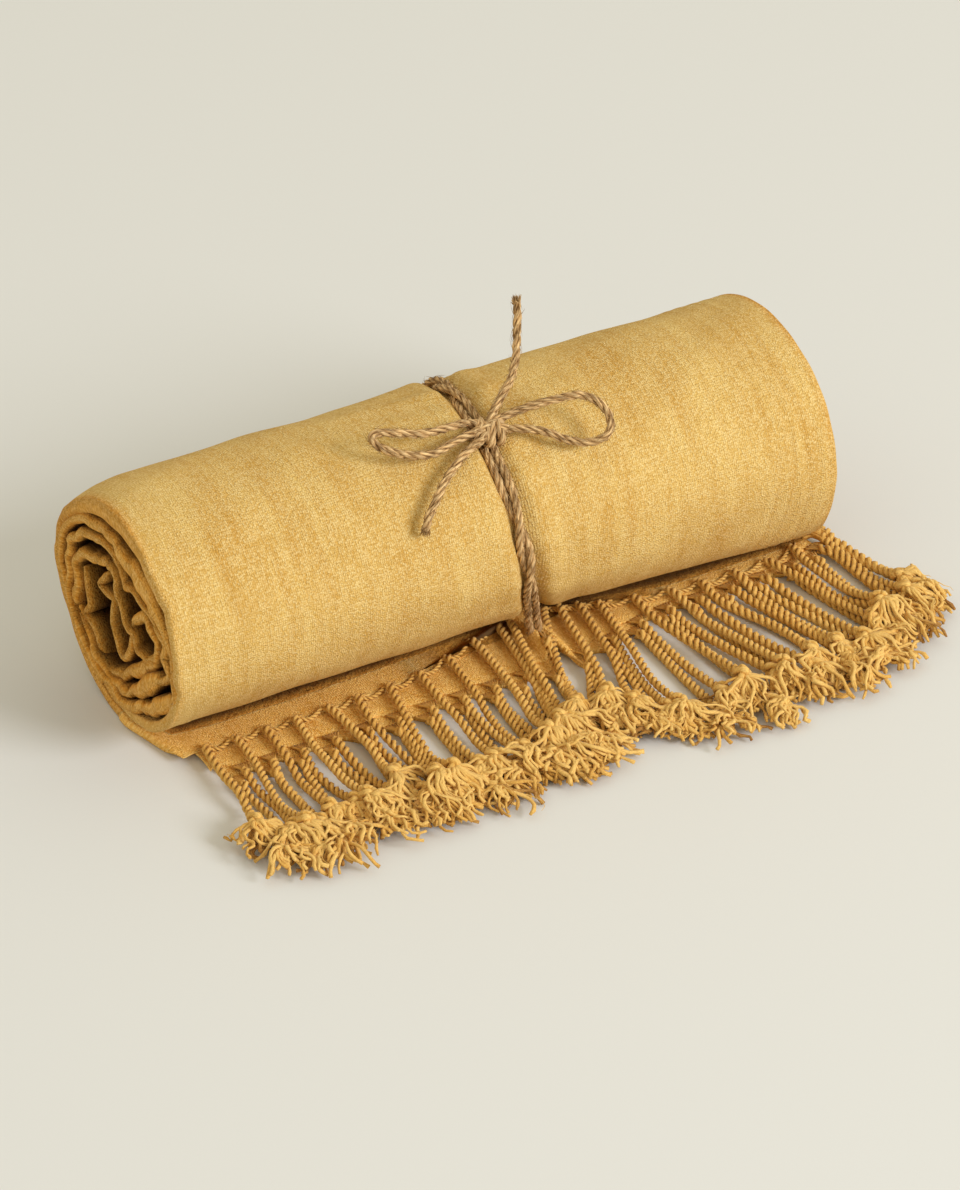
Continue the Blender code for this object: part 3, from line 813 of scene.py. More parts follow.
@dataclass
class Strands:
    """A bundle of round strands that becomes one mesh, each with fibres' places and a tint."""

    name: str
    sides: int
    turn_points: int = 11
    finest_turn: float = 9 * MM
    corners: list[Array] = field(default_factory=list)
    places: list[Array] = field(default_factory=list)
    faces: list[Array] = field(default_factory=list)
    tints: list[Array] = field(default_factory=list)
    count: int = 0

    @staticmethod
    def across(line: Array) -> tuple[Array, Array]:
        """Two directions square to a line at each point, that turn with it and never spin.

        Args:
            line: The line's points.

        Returns:
            The first and the second direction at each point.
        """
        along = unit(np.gradient(line, axis=0))
        start = np.cross(along[0], (0.0, 0.0, 1.0))
        if np.linalg.norm(start) < 0.2:
            start = np.cross(along[0], (0.0, 1.0, 0.0))
        side = np.empty_like(line)
        side[0] = unit(start)
        for i in range(1, len(line)):
            step = side[i - 1] - along[i] * (side[i - 1] @ along[i])
            side[i] = step / math.sqrt(step @ step)
        return side, np.cross(along, side)

    def add(self, line: Array, radius: Array | float, tint: Array | float, flat: float = 1.0,
            core: Array | None = None, crown: float = 0.0) -> None:
        """Add one strand.

        Args:
            line: The points that its middle follows.
            radius: Its radius, one for all or one for each point.
            tint: How pale it is, from 0 to 1, one for all or one for each point.
            flat: How much thinner it is than wide.
            core: The middle of the cord that it is twisted into, where it is.
            crown: The cord's radius, at which its painted highlight is palest; nearer its core it gets
                painted shade.
        """
        count, sides = len(line), self.sides
        side, up = self.across(line)
        angle = TURN * np.arange(sides + 1) / sides
        radius = np.broadcast_to(radius, count)[:, None, None]
        ring = line[:, None] + radius * (
            side[:, None] * np.cos(angle)[None, :, None] + flat * up[:, None] * np.sin(angle)[None, :, None]
        )
        ring[..., 2] = np.maximum(ring[..., 2], LEAST_HEIGHT)
        far = lengths_along(line)
        uv = np.stack(np.broadcast_arrays(far[:, None], np.arange(sides + 1)[None] / sides), axis=-1)
        index = self.count + np.arange(count)[:, None] * sides + (np.arange(sides + 1) % sides)[None]
        quad = np.stack([index[:-1, :-1], index[:-1, 1:], index[1:, 1:], index[1:, :-1]], axis=-1)
        quad_uv = np.stack([uv[:-1, :-1], uv[:-1, 1:], uv[1:, 1:], uv[1:, :-1]], axis=-2)
        self.faces.append(quad.reshape(-1, 4))
        self.places.append(quad_uv.reshape(-1, 4, 2))
        tips = self.count + count * sides
        for tip, row in ((tips, 0), (tips + 1, count - 1)):
            ahead, behind = index[row, :-1], index[row, 1:]
            if row:
                ahead, behind = behind, ahead
            middle = np.full(sides, tip)
            self.faces.append(np.stack([middle, behind, ahead, ahead], axis=-1))
            self.places.append(np.tile(uv[row, 0], (sides, 4, 1)))
        self.corners.append(np.vstack([ring[:, :-1].reshape(-1, 3), line[:1], line[-1:]]))
        shade = np.broadcast_to(tint, count)
        around = np.repeat(shade, sides)
        # Painted shade in the crevices between plies and a painted highlight on the cord's crown.
        if core is not None:
            away = np.linalg.norm(ring[:, :-1] - core[:, None], axis=2).ravel() / crown
            around = np.clip(around + 2.0 * (away - 0.82), 0.0, 1.0)
        self.tints.append(np.concatenate([around, shade[:1], shade[-1:]]))
        self.count = tips + 2

    def ply(self, line: Array, radius: float, plies: int, pitch: float, tint: float, phase: float = 0.0,
            apart: float = 0.44, beads: float = 0.0) -> None:
        """Add plies twisted round each other along a line.

        Args:
            line: The points that the cord's middle follows.
            radius: The whole cord's radius.
            plies: How many plies there are.
            pitch: How far a ply goes along in one turn.
            tint: How pale the cord is.
            phase: The turn at which the first ply starts.
            apart: How far each ply's middle stands off the cord's, as a share of its radius.
            beads: How much plumper each ply is where it shows at the cord's side.
        """
        far = lengths_along(line)
        steps = max(8, int(far[-1] / min(pitch, self.finest_turn) * self.turn_points))
        fine = evenly(line, steps)
        side, up = self.across(fine)
        angle = TURN * lengths_along(fine) / pitch + phase
        apart = radius * apart
        for i in range(plies):
            at = (angle + TURN * i / plies)[:, None]
            plump = (radius - apart) * (1 + 0.06 * np.sin(3.1 * angle + 2 * i + 5 * phase))
            plump = plump * (1 + beads * np.cos(2 * at[:, 0]))
            strand = fine + apart * (side * np.cos(at) + up * np.sin(at))
            # Each ply gets painted shade and highlight from its distance to the cord's middle.
            self.add(strand, plump, tint, core=fine, crown=radius)

    def build(self, material: bpy.types.Material) -> bpy.types.Object:
        """Make the mesh and its object.

        Args:
            material: The strands' material.

        Returns:
            The object.
        """
        corners, faces = np.vstack(self.corners), np.vstack(self.faces)
        places = np.concatenate(self.places).reshape(-1, 2)
        tri = faces[:, 2] == faces[:, 3]
        sizes = np.where(tri, 3, 4)
        keep = np.ones(faces.shape, bool)
        keep[tri, 3] = False
        mesh = bpy.data.meshes.new(self.name)
        mesh.vertices.add(len(corners))
        mesh.vertices.foreach_set("co", corners.astype(np.float32).ravel())
        mesh.loops.add(int(sizes.sum()))
        mesh.loops.foreach_set("vertex_index", faces[keep].astype(np.int32))
        mesh.polygons.add(len(faces))
        starts = np.concatenate([[0], np.cumsum(sizes)[:-1]])
        mesh.polygons.foreach_set("loop_start", starts.astype(np.int32))
        mesh.uv_layers.new(name="UVMap")
        mesh.uv_layers["UVMap"].data.foreach_set("uv", places[keep.ravel()].astype(np.float32).ravel())
        store(mesh, "tint", np.concatenate(self.tints))
        mesh.update(calc_edges=True)
        mesh.shade_smooth()
        mesh.materials.append(material)
        piece = bpy.data.objects.new(self.name, mesh)
        bpy.context.scene.collection.objects.link(piece)
        return piece


def close_ring(mesh: bpy.types.Mesh, first: int, count: int) -> None:
    """Close a flat ring of points by joining its two long sides, which both run along X.

    Args:
        mesh: The mesh that holds the ring.
        first: The ring's first point.
        count: How many points it has.
    """
    shell = bmesh.new()
    shell.from_mesh(mesh)
    shell.verts.ensure_lookup_table()
    ring = [shell.verts[first + i] for i in range(count)]
    low = min(range(count), key=lambda i: ring[i].co.x)
    high = max(range(count), key=lambda i: ring[i].co.x)
    ahead = [ring[(low + i) % count] for i in range((high - low) % count + 1)]
    back = [ring[(low - i) % count] for i in range((low - high) % count + 1)]
    i = j = 0
    while i < len(ahead) - 1 or j < len(back) - 1:
        step_back = i == len(ahead) - 1 or (j < len(back) - 1 and back[j + 1].co.x < ahead[i + 1].co.x)
        following = back[j + 1] if step_back else ahead[i + 1]
        corners = {ahead[i], back[j], following}
        if len(corners) == 3:
            shell.faces.new((ahead[i], back[j], following))
        i, j = (i, j + 1) if step_back else (i + 1, j)
    shell.to_mesh(mesh)
    shell.free()


def shaped_grid(
    name: str, places: Array, cloth_places: Array, open_air: Array | float,
    material: bpy.types.Material, closed: bool,
) -> bpy.types.Object:
    """A grid primitive whose points are set down one by one.

    Args:
        name: The piece's name.
        places: The points, as rows and columns.
        cloth_places: Each point's place in the flat cloth, as rows and columns.
        open_air: The painted light and shade at each point, from 0 deep in a fold to 1 at the outside; above
            1 is painted light.
        material: The piece's material.
        closed: Whether each row is a ring, so that its first and last points meet.

    Returns:
        The piece.
    """
    rows, columns = places.shape[:2]
    deselect_all()
    bpy.ops.mesh.primitive_grid_add(x_subdivisions=columns - 1, y_subdivisions=rows - 1, size=1.0)
    piece = bpy.context.active_object
    piece.name = name
    mesh = piece.data
    mesh.name = name
    mesh.vertices.foreach_set("co", places.astype(np.float32).ravel())
    store(mesh, "open_air", np.broadcast_to(open_air, (rows, columns)))
    corner = np.zeros(len(mesh.loops), np.int32)
    mesh.loops.foreach_get("vertex_index", corner)
    flat = cloth_places.reshape(-1, 2)[corner]
    mesh.uv_layers.active.name = "UVMap"
    mesh.uv_layers["UVMap"].data.foreach_set("uv", flat.astype(np.float32).ravel())
    if closed:
        close_ring(mesh, 0, columns - 1)
        close_ring(mesh, (rows - 1) * columns, columns - 1)
        bpy.ops.object.mode_set(mode="EDIT")
        bpy.ops.mesh.select_all(action="SELECT")
        bpy.ops.mesh.remove_doubles(threshold=0.01 * MM)
        bpy.ops.mesh.normals_make_consistent(inside=False)
        bpy.ops.object.mode_set(mode="OBJECT")
    mesh.update()
    mesh.shade_smooth()
    mesh.materials.append(material)
    return piece


# ---------------------------------------------------------------- the rolled cloth
# The folds at the roll's left end, each with its place in millimetres: y and z as they line up with the
# end's plane, how far in from it the fold's rim stands, and half the cloth's thickness there.
Folds = tuple[tuple[float, float, float, float], ...]


@dataclass
class RolledCloth:
    """The bedspread's folded strip: its loose end, its even turns and its crumpled heart."""

    material: bpy.types.Material
    # How much thicker the strip's rims are, how far in that reaches, and how round they are.
    rim_puff: float = 0.8 * MM
    rim_reach: float = 12 * MM
    rim_round: float = 3.4 * MM
    rim_points: int = 9
    # About how far apart the points lie on the skin and along the inner cloth.
    skin_step: float = 2.6 * MM
    inner_step: float = 2.4 * MM
    # How far back and down a fold lies for each length that its rim stands in from the end.
    slide_back: float = 1.76
    slide_down: float = 1.37
    tail_steps: int = 26
    # Half the inner cloth's thickness before its folds, and how deep light reaches in from the rims.
    inner_half: float = 2.9 * MM
    air_reach: float = 5.5 * MM
    # Soft ridges round the roll, as (place along it in mm, height in mm).
    ridges: tuple[tuple[float, float], ...] = ((188, 0.5), (197, 0.9), (206, 1.0), (214, 0.9), (-208, 0.5))
    coil: Folds = (
        (70.5, 68, 0.5, 2.9), (70, 80, 0.6, 2.9), (66, 93, 0.8, 2.9), (57, 105, 1, 3),
        (45, 115.5, 1.2, 3.2), (31, 123, 1.5, 3.6), (15, 127.5, 2, 4), (-2, 129, 2.2, 4),
        (-20, 124.5, 2.6, 6.2), (-36, 119.5, 3, 9.0), (-51, 114, 3, 8.6), (-64, 106, 3, 5),
        (-73, 95, 3, 3.6), (-77, 84, 3, 3), (-80, 72, 3, 3), (-77, 62, 2.2, 4.0), (-67, 53, 1.4, 4.8),
        (-56, 44.5, 1.4, 5.0), (-46, 36.5, 2.4, 4.2), (-38, 31, 2.8, 3.0), (-28, 26, 1.6, 3.8),
        (-14, 18.5, 1.2, 3), (2, 16.8, 1, 3), (18, 18.5, 1, 3), (32, 22.5, 1.4, 3), (43, 28, 1.8, 3.0),
        (52, 34, 2, 3.0), (59, 42, 2, 3.0), (62.5, 53, 2, 3.0), (63, 66, 2, 3), (62, 79, 2, 3),
        (57.5, 92, 2.2, 3), (47, 103, 2.4, 3), (33, 112, 2.8, 3), (17, 118, 3, 3), (3, 120.5, 3, 3),
        (-8, 116.5, 3.4, 2.8), (-13, 109.5, 4, 3.2), (-21, 106.5, 4, 3.2), (-29, 109, 4, 2.2),
        (-38, 106, 4.5, 2.4), (-50, 101.5, 5, 3.0), (-61, 100, 5, 3.2), (-68, 94, 5, 3.4),
        (-67, 86, 5, 4.0), (-69, 76, 5, 4.0), (-68, 70, 5.5, 2.8), (-60, 65, 6, 2.8),
        (-50, 58, 3.6, 5.0), (-40, 49, 2.2, 6.4), (-28, 38.5, 3.0, 4.4), (-17, 30.5, 4.4, 2.8),
        (-8, 25.5, 3, 3.6), (8, 22.5, 3, 3), (20, 24.8, 3, 3), (31, 29.5, 3.4, 3), (40, 35.5, 3.8, 3.2),
        (47.5, 40.5, 4, 3.2), (53.5, 48, 4, 3.6), (53, 58, 4.4, 4.0), (51, 70, 5, 4.2), (54, 82, 4.4, 3.4),
        (44, 92, 4, 3.4), (30, 98, 4, 3.2), (14, 103.5, 4.4, 3), (0, 108, 5, 2.6), (-5, 105, 5.5, 2.4),
        (-3.5, 97, 6, 2.6), (-7, 88, 6, 2.6), (-10, 79, 6, 2.5), (-17, 77, 6.4, 2.5),
        (-25, 75, 6.5, 2.4), (-30, 69, 6.5, 2.4), (-38, 68, 6.5, 2.6), (-48, 71, 6.5, 2.6),
        (-54, 79, 6.5, 2.6), (-57, 89, 6, 2.6), (-50, 95, 6, 3), (-38, 95, 6, 3.4), (-29, 89, 6.5, 3.2),
        (-25, 82, 7, 2.6),
    )
    tongue: Folds = (
        (6, 99, 8, 2.6), (13, 91, 8, 2.6), (19, 84, 7.6, 2), (9, 83, 8, 2.3), (0, 84.5, 8, 2.4),
        (3, 76, 8, 2.6), (4, 66, 8, 2.6), (-1, 57, 8, 2.8), (-8, 49.5, 8, 2.5), (-14, 55, 8, 2.8),
        (-19, 65, 8, 2.8), (-22, 73, 8.4, 2.3),
    )
    panel: Folds = (
        (38, 85, 8, 2.5), (37, 72, 8, 3.2), (35, 60, 8, 3), (42, 50.5, 7.5, 2.2), (34, 47, 7.5, 3),
        (27, 43, 7.5, 2.8), (22, 35, 7, 3), (16, 28, 6.5, 2.8), (6, 30, 6.5, 3), (-5, 35, 6.5, 3.2),
        (-17, 44, 7, 3.2), (-29, 53.5, 6, 4.6), (-41, 63.5, 6.4, 4.4), (-52, 71, 6, 3.6),
    )
    # Pinch pleats that run out from the twine: angle above the front, side, height in mm, reach in mm.
    pleats: tuple[tuple[float, int, float, float], ...] = (
        (94, 1, 1.2, 46), (76, 1, 1.3, 40), (60, 1, 0.9, 30), (101, -1, 1.8, 55), (84, -1, 1.6, 42),
        (58, -1, 1.1, 36), (45, 1, 1.2, 40), (24, -1, 1.0, 36), (8, 1, 1.3, 44), (-8, -1, 0.8, 30),
        (-22, 1, 1.2, 38), (-32, -1, 1.1, 34), (-46, 1, 1.0, 30), (118, 1, 1.6, 46), (128, -1, 1.4, 50),
        (158, 1, 1.2, 44), (172, -1, 1.1, 40),
    )

    def relief(self, x: Array, turn: Array) -> Array:
        """How far the outer face stands out: pleats from the twine, ripples and soft unevenness.

        Args:
            x: Places along the roll.
            turn: The turns there, measured on the outermost turn.

        Returns:
            The height at each place.
        """
        angle = np.degrees(ROLL.front_angle(turn))
        away = x - ROLL.wrap_x(np.radians(angle))
        height = np.zeros(np.broadcast(x, turn).shape)
        # Pleats fan out from the twine, each with a hollow beside it.
        for place, side, tall, reach in self.pleats:
            out = side * away
            turned = (angle - place - 6 * np.clip(out, 0, None) / (60 * MM) + 180) % 360 - 180
            rise = smoothstep(out, 3 * MM, 14 * MM) * np.exp(-np.clip(out, 0, None) / (reach * MM))
            height += tall * MM * rise * (bell(turned, 4.5) - 0.45 * bell(turned - 9, 5.5))
        # The cloth swells on both sides of the groove and dips beyond it on the right.
        height += 0.4 * MM * bell(away - 17 * MM, 5 * MM) - 0.5 * MM * bell(away - 29 * MM, 7 * MM)
        height += 0.5 * MM * bell(away + 16 * MM, 5 * MM)
        # Soft dents everywhere.
        soft = np.sin(x / (23 * MM) + 2.1 * np.sin(turn * 2)) * np.sin(turn * 5 + x / (60 * MM))
        soft = soft + 0.7 * np.sin(x / (9.5 * MM) + turn * 3) * np.sin(turn * 11 + 1.0)
        soft = soft + 0.9 * np.sin(x / (37 * MM) + 3 * np.sin(turn * 1.5 + 1)) * np.sin(turn * 3 + 2)
        height += 0.42 * MM * soft
        # Ridges round the roll, strongest at the front.
        side_on = smoothstep(angle, -80, -45) * (1 - smoothstep(angle, 35, 75))
        for place, tall in self.ridges:
            from_ridge = x - place * MM - 3 * MM * np.sin(turn * 1.7)
            height += tall * MM * bell(from_ridge, 2.2 * MM) * (0.35 + 0.65 * side_on)
        return height

    def section_columns(self, fine: bool) -> Columns:
        """The closed loop across the folded strip, as shares of its length and half its thickness.

        Args:
            fine: Whether the outer face needs points all along.

        Returns:
            Each point's place along the strip, how far past its end it is and its share of the thickness.
        """
        near = np.array([0.0, 1.5, 3.5, 6.5, 11, 18, 30, 55, 100, 160]) * MM
        inner = np.concatenate([-ROLL.end + near, (ROLL.end - near)[::-1]])
        count = round(ROLL.length / self.skin_step)
        outer = np.linspace(-ROLL.end, ROLL.end, count + 1) if fine else inner
        arc = np.linspace(TURN / 4, -TURN / 4, self.rim_points)[1:-1]
        rim = np.full(len(arc), ROLL.end)
        base = np.concatenate([outer, rim, inner[::-1], -rim, outer[:1]])
        flat, still = np.ones(len(outer)), np.zeros(len(outer))
        beyond = np.concatenate([still, np.cos(arc), np.zeros(len(inner)), -np.cos(arc), [0.0]])
        height = np.concatenate([flat, np.sin(arc), -np.ones(len(inner)), -np.sin(arc), [1.0]])
        return base, beyond, height

    def lay(self, path: Array, half: Array, ends: tuple[Array, Array],
            columns: Columns, relief: Array | float = 0.0,
            out: Array | None = None) -> Array:
        """Place the strip's loops along a path.

        Args:
            path: The strip's middle for each station and column.
            half: Half the thickness there.
            ends: Where the left and the right rims stand, for each station.
            columns: The loop, from section_columns.
            relief: How far the outer face stands out.
            out: The outward direction there, where it isn't simply square to the path.

        Returns:
            The points, as stations and columns.
        """
        base, beyond, height = columns
        if out is None:
            along = np.gradient(path, axis=0)
            out = unit(np.stack([np.zeros_like(along[..., 0]), along[..., 2], -along[..., 1]], axis=-1))
        left, right = ends
        share = (base + ROLL.end) / ROLL.length
        room = (right - left)[:, None] - 2 * self.rim_round
        places = path + out * (half * height[None] + relief * (height > 0.99)[None])[..., None]
        places[..., 0] = left[:, None] + self.rim_round + share[None] * room + beyond[None] * self.rim_round
        return places

    def air(self, places: Array, ends: tuple[Array, Array]) -> Array:
        """How open each point is: 1 at a rim, falling away deeper in the roll."""
        left, right = ends
        deep = np.minimum(places[..., 0] - left[:, None], right[:, None] - places[..., 0])
        return np.exp(-np.clip(deep - 0.5 * MM, 0, None) / self.air_reach)

    def unroll(
        self, places: Array, columns: Columns, far: Array
    ) -> Array:
        """Each point's place in the flat cloth.

        Args:
            places: The points, as stations and columns.
            columns: The loop across the strip, from section_columns.
            far: How far along the strip each station lies.

        Returns:
            The places, which run on round the strip's rims.
        """
        base, _, height = columns
        round_rim = np.sign(base) * (1 - height) * 3 * MM
        return np.stack(np.broadcast_arrays(places[..., 0] + round_rim[None], far[:, None]), axis=-1)

    def build(self) -> bpy.types.Object:
        """Make the rolled cloth.

        Returns:
            The piece.
        """
        outer = self.outer_part()
        folds = (self.fold_part("tongue", self.tongue, 5.4), self.fold_part("panel", self.panel, 4.6))
        for inner in (self.coil_part(), *folds):
            take(outer)
            inner.select_set(True)
            bpy.ops.object.join()
        outer.name = "rolled_cloth"
        return outer

    def tail(self, columns: Columns) -> Array:
        """The loose end's upper layer, from its edge back to where the roll takes it up."""
        base, beyond, height = columns
        edge = EDGES[Layer.UPPER]
        share = np.linspace(0, 1, self.tail_steps, endpoint=False)[:, None]
        share = np.concatenate([[[0.0], [0.004], [0.015]], share[1:]])
        x = base[None] * np.ones((len(share), 1))
        edge_y = edge.y(x) - 1.5 * MM * (1 - np.abs(np.sin(math.pi * (x - edge.first) / ROOT_PITCH)))
        y = edge_y + (ROLL.axis_y - edge_y) * share
        lift = ROLL.groove(x - ROLL.wrap_bottom)
        wave = np.sin(x / (17 * MM) + 1.3 * np.sin(x / (41 * MM))) * smoothstep(-y, 20 * MM, 50 * MM)
        top = edge.top + lift + 0.35 * MM * wave
        under = lift + (edge.top - 1.5 * MM) * (1 - smoothstep(y - edge_y, 2 * MM, 18 * MM))
        round_off = np.concatenate([[0.25, 0.75], np.ones(len(share) - 2)])[:, None]
        z = (top + under) / 2 - height[None] * (top - under) / 2 * round_off
        room = ROLL.length - 2 * self.rim_round
        across = -ROLL.end + self.rim_round * (1 + beyond) + (base + ROLL.end) / ROLL.length * room
        spread = across[None] * np.ones((len(share), 1))
        return np.stack([spread + shear(spread, y), y, z], axis=-1)

    def outer_part(self) -> bpy.types.Object:
        """The loose end's upper layer and the outermost turn, whose outer face is the roll's skin."""
        columns = self.section_columns(fine=True)
        base, beyond, height = columns
        turns = np.linspace(0, 1.16 * TURN, 200)
        x = base[None] * np.ones((len(turns), 1))
        path = ROLL.even_place(x, turns[:, None])
        out = ROLL.outward(x, turns[:, None])
        near = np.minimum(x + ROLL.end, ROLL.end - x)
        half = ROLL.cloth / 2 + self.rim_puff / 2 * bell(near, self.rim_reach)
        # The strip is plumper on its inside at the left end's top, where the next turn lies lower.
        fuller = 1.5 * bell(turns / TURN - 0.52, 0.13)[:, None] * np.exp(-(x + ROLL.end) / (20 * MM))
        half = half * (1 + fuller * (height < 0)[None])
        relief = self.relief(x, turns[:, None]) * smoothstep(turns, 0.15, 0.7)[:, None]
        ends = self.rims(turns)
        skin = self.lay(path, half, ends, (base, 0.6 * beyond, height), relief, out)
        inside = self.air(skin, ends)
        tail = self.tail(columns)
        # Painted light and shade at each point: the rims of the front side like the skin, the others darker
        # with painted shade, painted shade along the skin's edges, and on the loose end painted light, with
        # a painted shadow only where the roll comes down on it.
        lit = smoothstep(turns / TURN, 0.50, 0.60) - smoothstep(turns / TURN, 1.0, 1.04)
        rim = np.clip(0.89 + 0.02 * height, inside, 0.92) + 0.05 * lit[:, None]
        face = 1.0 - (0.12 - 0.07 * lit[:, None]) * np.exp(-near / (2.5 * MM))
        contact = -32.5 * MM - 10 * MM * smoothstep(base, 0, 80 * MM)
        shaded = smoothstep(tail[..., 1] - contact, -10 * MM, 0.5 * MM)
        shaded = shaded * smoothstep(base, -222 * MM, -204 * MM)
        # Painted light on the loose end, and a painted shadow where the roll comes down on it.
        painted_tail_light = np.where(shaded < 0.12, 1.07, 0.90 - 0.71 * shaded)
        open_air = np.concatenate([painted_tail_light, np.where(height[None] > 0.99, face, rim)])
        places = np.concatenate([tail, skin])
        places[..., 2] = np.maximum(places[..., 2], 0.15 * MM)
        far = np.concatenate([np.linspace(-62 * MM, 0, len(tail), endpoint=False), turns * ROLL.mean_radius])
        cloth = self.unroll(places, columns, far)
        return shaped_grid("rolled_cloth", places, cloth, open_air, self.material, closed=True)

    def folds(self, table: Folds) -> tuple[Array, Array, Array]:
        """A stretch of the crumpled cloth, from its listed folds.

        Args:
            table: The folds, in order from the outside in.

        Returns:
            The stretch's path as (y, z), how far in its rim stands, and half its thickness.
        """
        line = smooth_line(np.array(table) * MM, self.inner_step)
        recess = line[:, 2]
        back, down = self.slide_back * recess, self.slide_down * recess
        path = np.stack([line[:, 0] + back, line[:, 1] - down], axis=1)
        # The stretch thins out to its two ends.
        tip = np.minimum(np.arange(len(line)), np.arange(len(line))[::-1])
        return path, recess, line[:, 3] * (0.35 + 0.65 * smoothstep(tip, -1, 3))

    def plain(self, first: float, last: float, count: int) -> Array:
        """An even stretch of the spiral at the right end, as (y, z), for the same number of points."""
        turn = TURN * np.linspace(first, last, count)
        radius = ROLL.mean_radius - ROLL.pitch * turn / TURN
        radius = np.maximum(radius, 11 * MM - 3 * MM * (turn / TURN - 5)) + 0.9 * MM * np.sin(turn * 2.3)
        wide = radius / ROLL.mean_radius
        return np.stack([ROLL.axis_y + np.sin(turn) * wide * ROLL.semi_width,
                         ROLL.axis_z - np.cos(turn) * wide * ROLL.semi_height], axis=1)

    def crumpled(
        self, name: str, lead: Array, table: Folds, plain: Array
    ) -> bpy.types.Object:
        """One stretch of inner cloth: crumpled at the left end, an even spiral at the right.

        Args:
            name: The piece's name.
            lead: The even part before the folds, as (y, z), the same at both ends.
            table: The folds.
            plain: What the whole stretch becomes at the right end, as (y, z).

        Returns:
            The piece.
        """
        columns = self.section_columns(fine=False)
        base = columns[0]
        folded, recess, thick = self.folds(table)
        left_path = np.concatenate([lead, folded])
        count = len(left_path)
        recess = np.concatenate([np.full(len(lead), recess[0]), recess])
        thick = np.concatenate([np.full(len(lead), self.inner_half), thick])
        # From the left to the right end the folds give way to the even spiral.
        blend = smoothstep(base, -120 * MM, 60 * MM)[None, :, None]
        flat = left_path[:, None] * (1 - blend) + plain[:, None] * blend
        # The cloth sways and wrinkles on its way, but not where it joins the outermost turn.
        step = np.arange(count)
        swaying = smoothstep(step, len(lead), len(lead) + 40)
        sway = 1.2 * MM * np.sin(base / (31 * MM))[None] * swaying[:, None]
        x = np.broadcast_to(base[None, :, None], (count, len(base), 1))
        loose = smoothstep(step, len(lead), len(lead) + 60)
        phase = step[:, None] * 0.62 + 1.5 * np.sin(step * 0.19)[:, None] + (base / (6.5 * MM))[None]
        wrinkle = np.stack([np.sin(phase), np.sin(1.37 * phase + 2)], axis=-1) * loose[:, None, None]
        path = np.concatenate([x, flat + sway[..., None] + 0.75 * MM * wrinkle], axis=-1)
        # Its rims stand unevenly.
        crinkle = 0.6 * np.sin(step * 0.71) + 0.8 * np.sin(step * 0.33 + 1) + 0.15 * np.sin(step * 1.9 + 2)
        left = -ROLL.end + recess + crinkle * MM * loose
        right = ROLL.end - 2 * MM - 5 * MM * loose + 0.3 * MM * crinkle
        near = np.minimum(base + ROLL.end, ROLL.end - base)
        half = thick[:, None] * (1 + 0.1 * bell(near, self.rim_reach))[None]
        places = self.lay(path, half, (left, right), columns)
        far = 1.2 * TURN * ROLL.mean_radius + lengths_along(left_path)
        cloth = self.unroll(places, columns, far)
        # Painted shade that deepens from the rims into the folds.
        open_air = 0.90 * self.air(places, (left, right))
        return shaped_grid(name, places, cloth, open_air, self.material, closed=True)

    def coil_part(self) -> bpy.types.Object:
        """The inner turns, from under the outermost one into the crumpled heart."""
        first, lead_end, last = 1.05, 1.22, 4.6
        turns = np.linspace(first, lead_end, 18)
        lead = ROLL.even_place(np.full(len(turns), -150 * MM), turns * TURN)[:, 1:]
        plain = self.plain(first, last, len(turns) + len(self.folds(self.coil)[0]))
        return self.crumpled("inner_turns", lead, self.coil, plain)

    def fold_part(self, name: str, table: Folds, first: float) -> bpy.types.Object:
        """One of the two stretches of cloth in the roll's heart."""
        count = len(self.folds(table)[0])
        return self.crumpled(name, np.zeros((0, 2)), table, self.plain(first, first + 0.8, count))

    def rims(self, turns: Array) -> tuple[Array, Array]:
        """Where the outermost turn's folded rims stand: very slightly uneven.

        Args:
            turns: How far the strip is wound at each station.

        Returns:
            The left and the right rim's places along X.
        """
        uneven = 0.5 * np.sin(1.9 * turns) + 0.4 * np.sin(7.3 * turns + 1) + 0.25 * np.sin(19 * turns + 2)
        left = 1.0 * MM * smoothstep(turns, 0.3, 1.2) * (1 + uneven)
        # Two small nicks in the left rim.
        nicks = 2.0 * bell(turns / TURN - 0.655, 0.013) + 1.9 * bell(turns / TURN - 0.775, 0.012)
        left = left + nicks * MM
        right = -1.8 * MM * bell(turns / TURN - 0.86, 0.12) + 0.5 * MM * uneven * smoothstep(turns, 0.3, 1.2)
        return -ROLL.end + left, ROLL.end - right


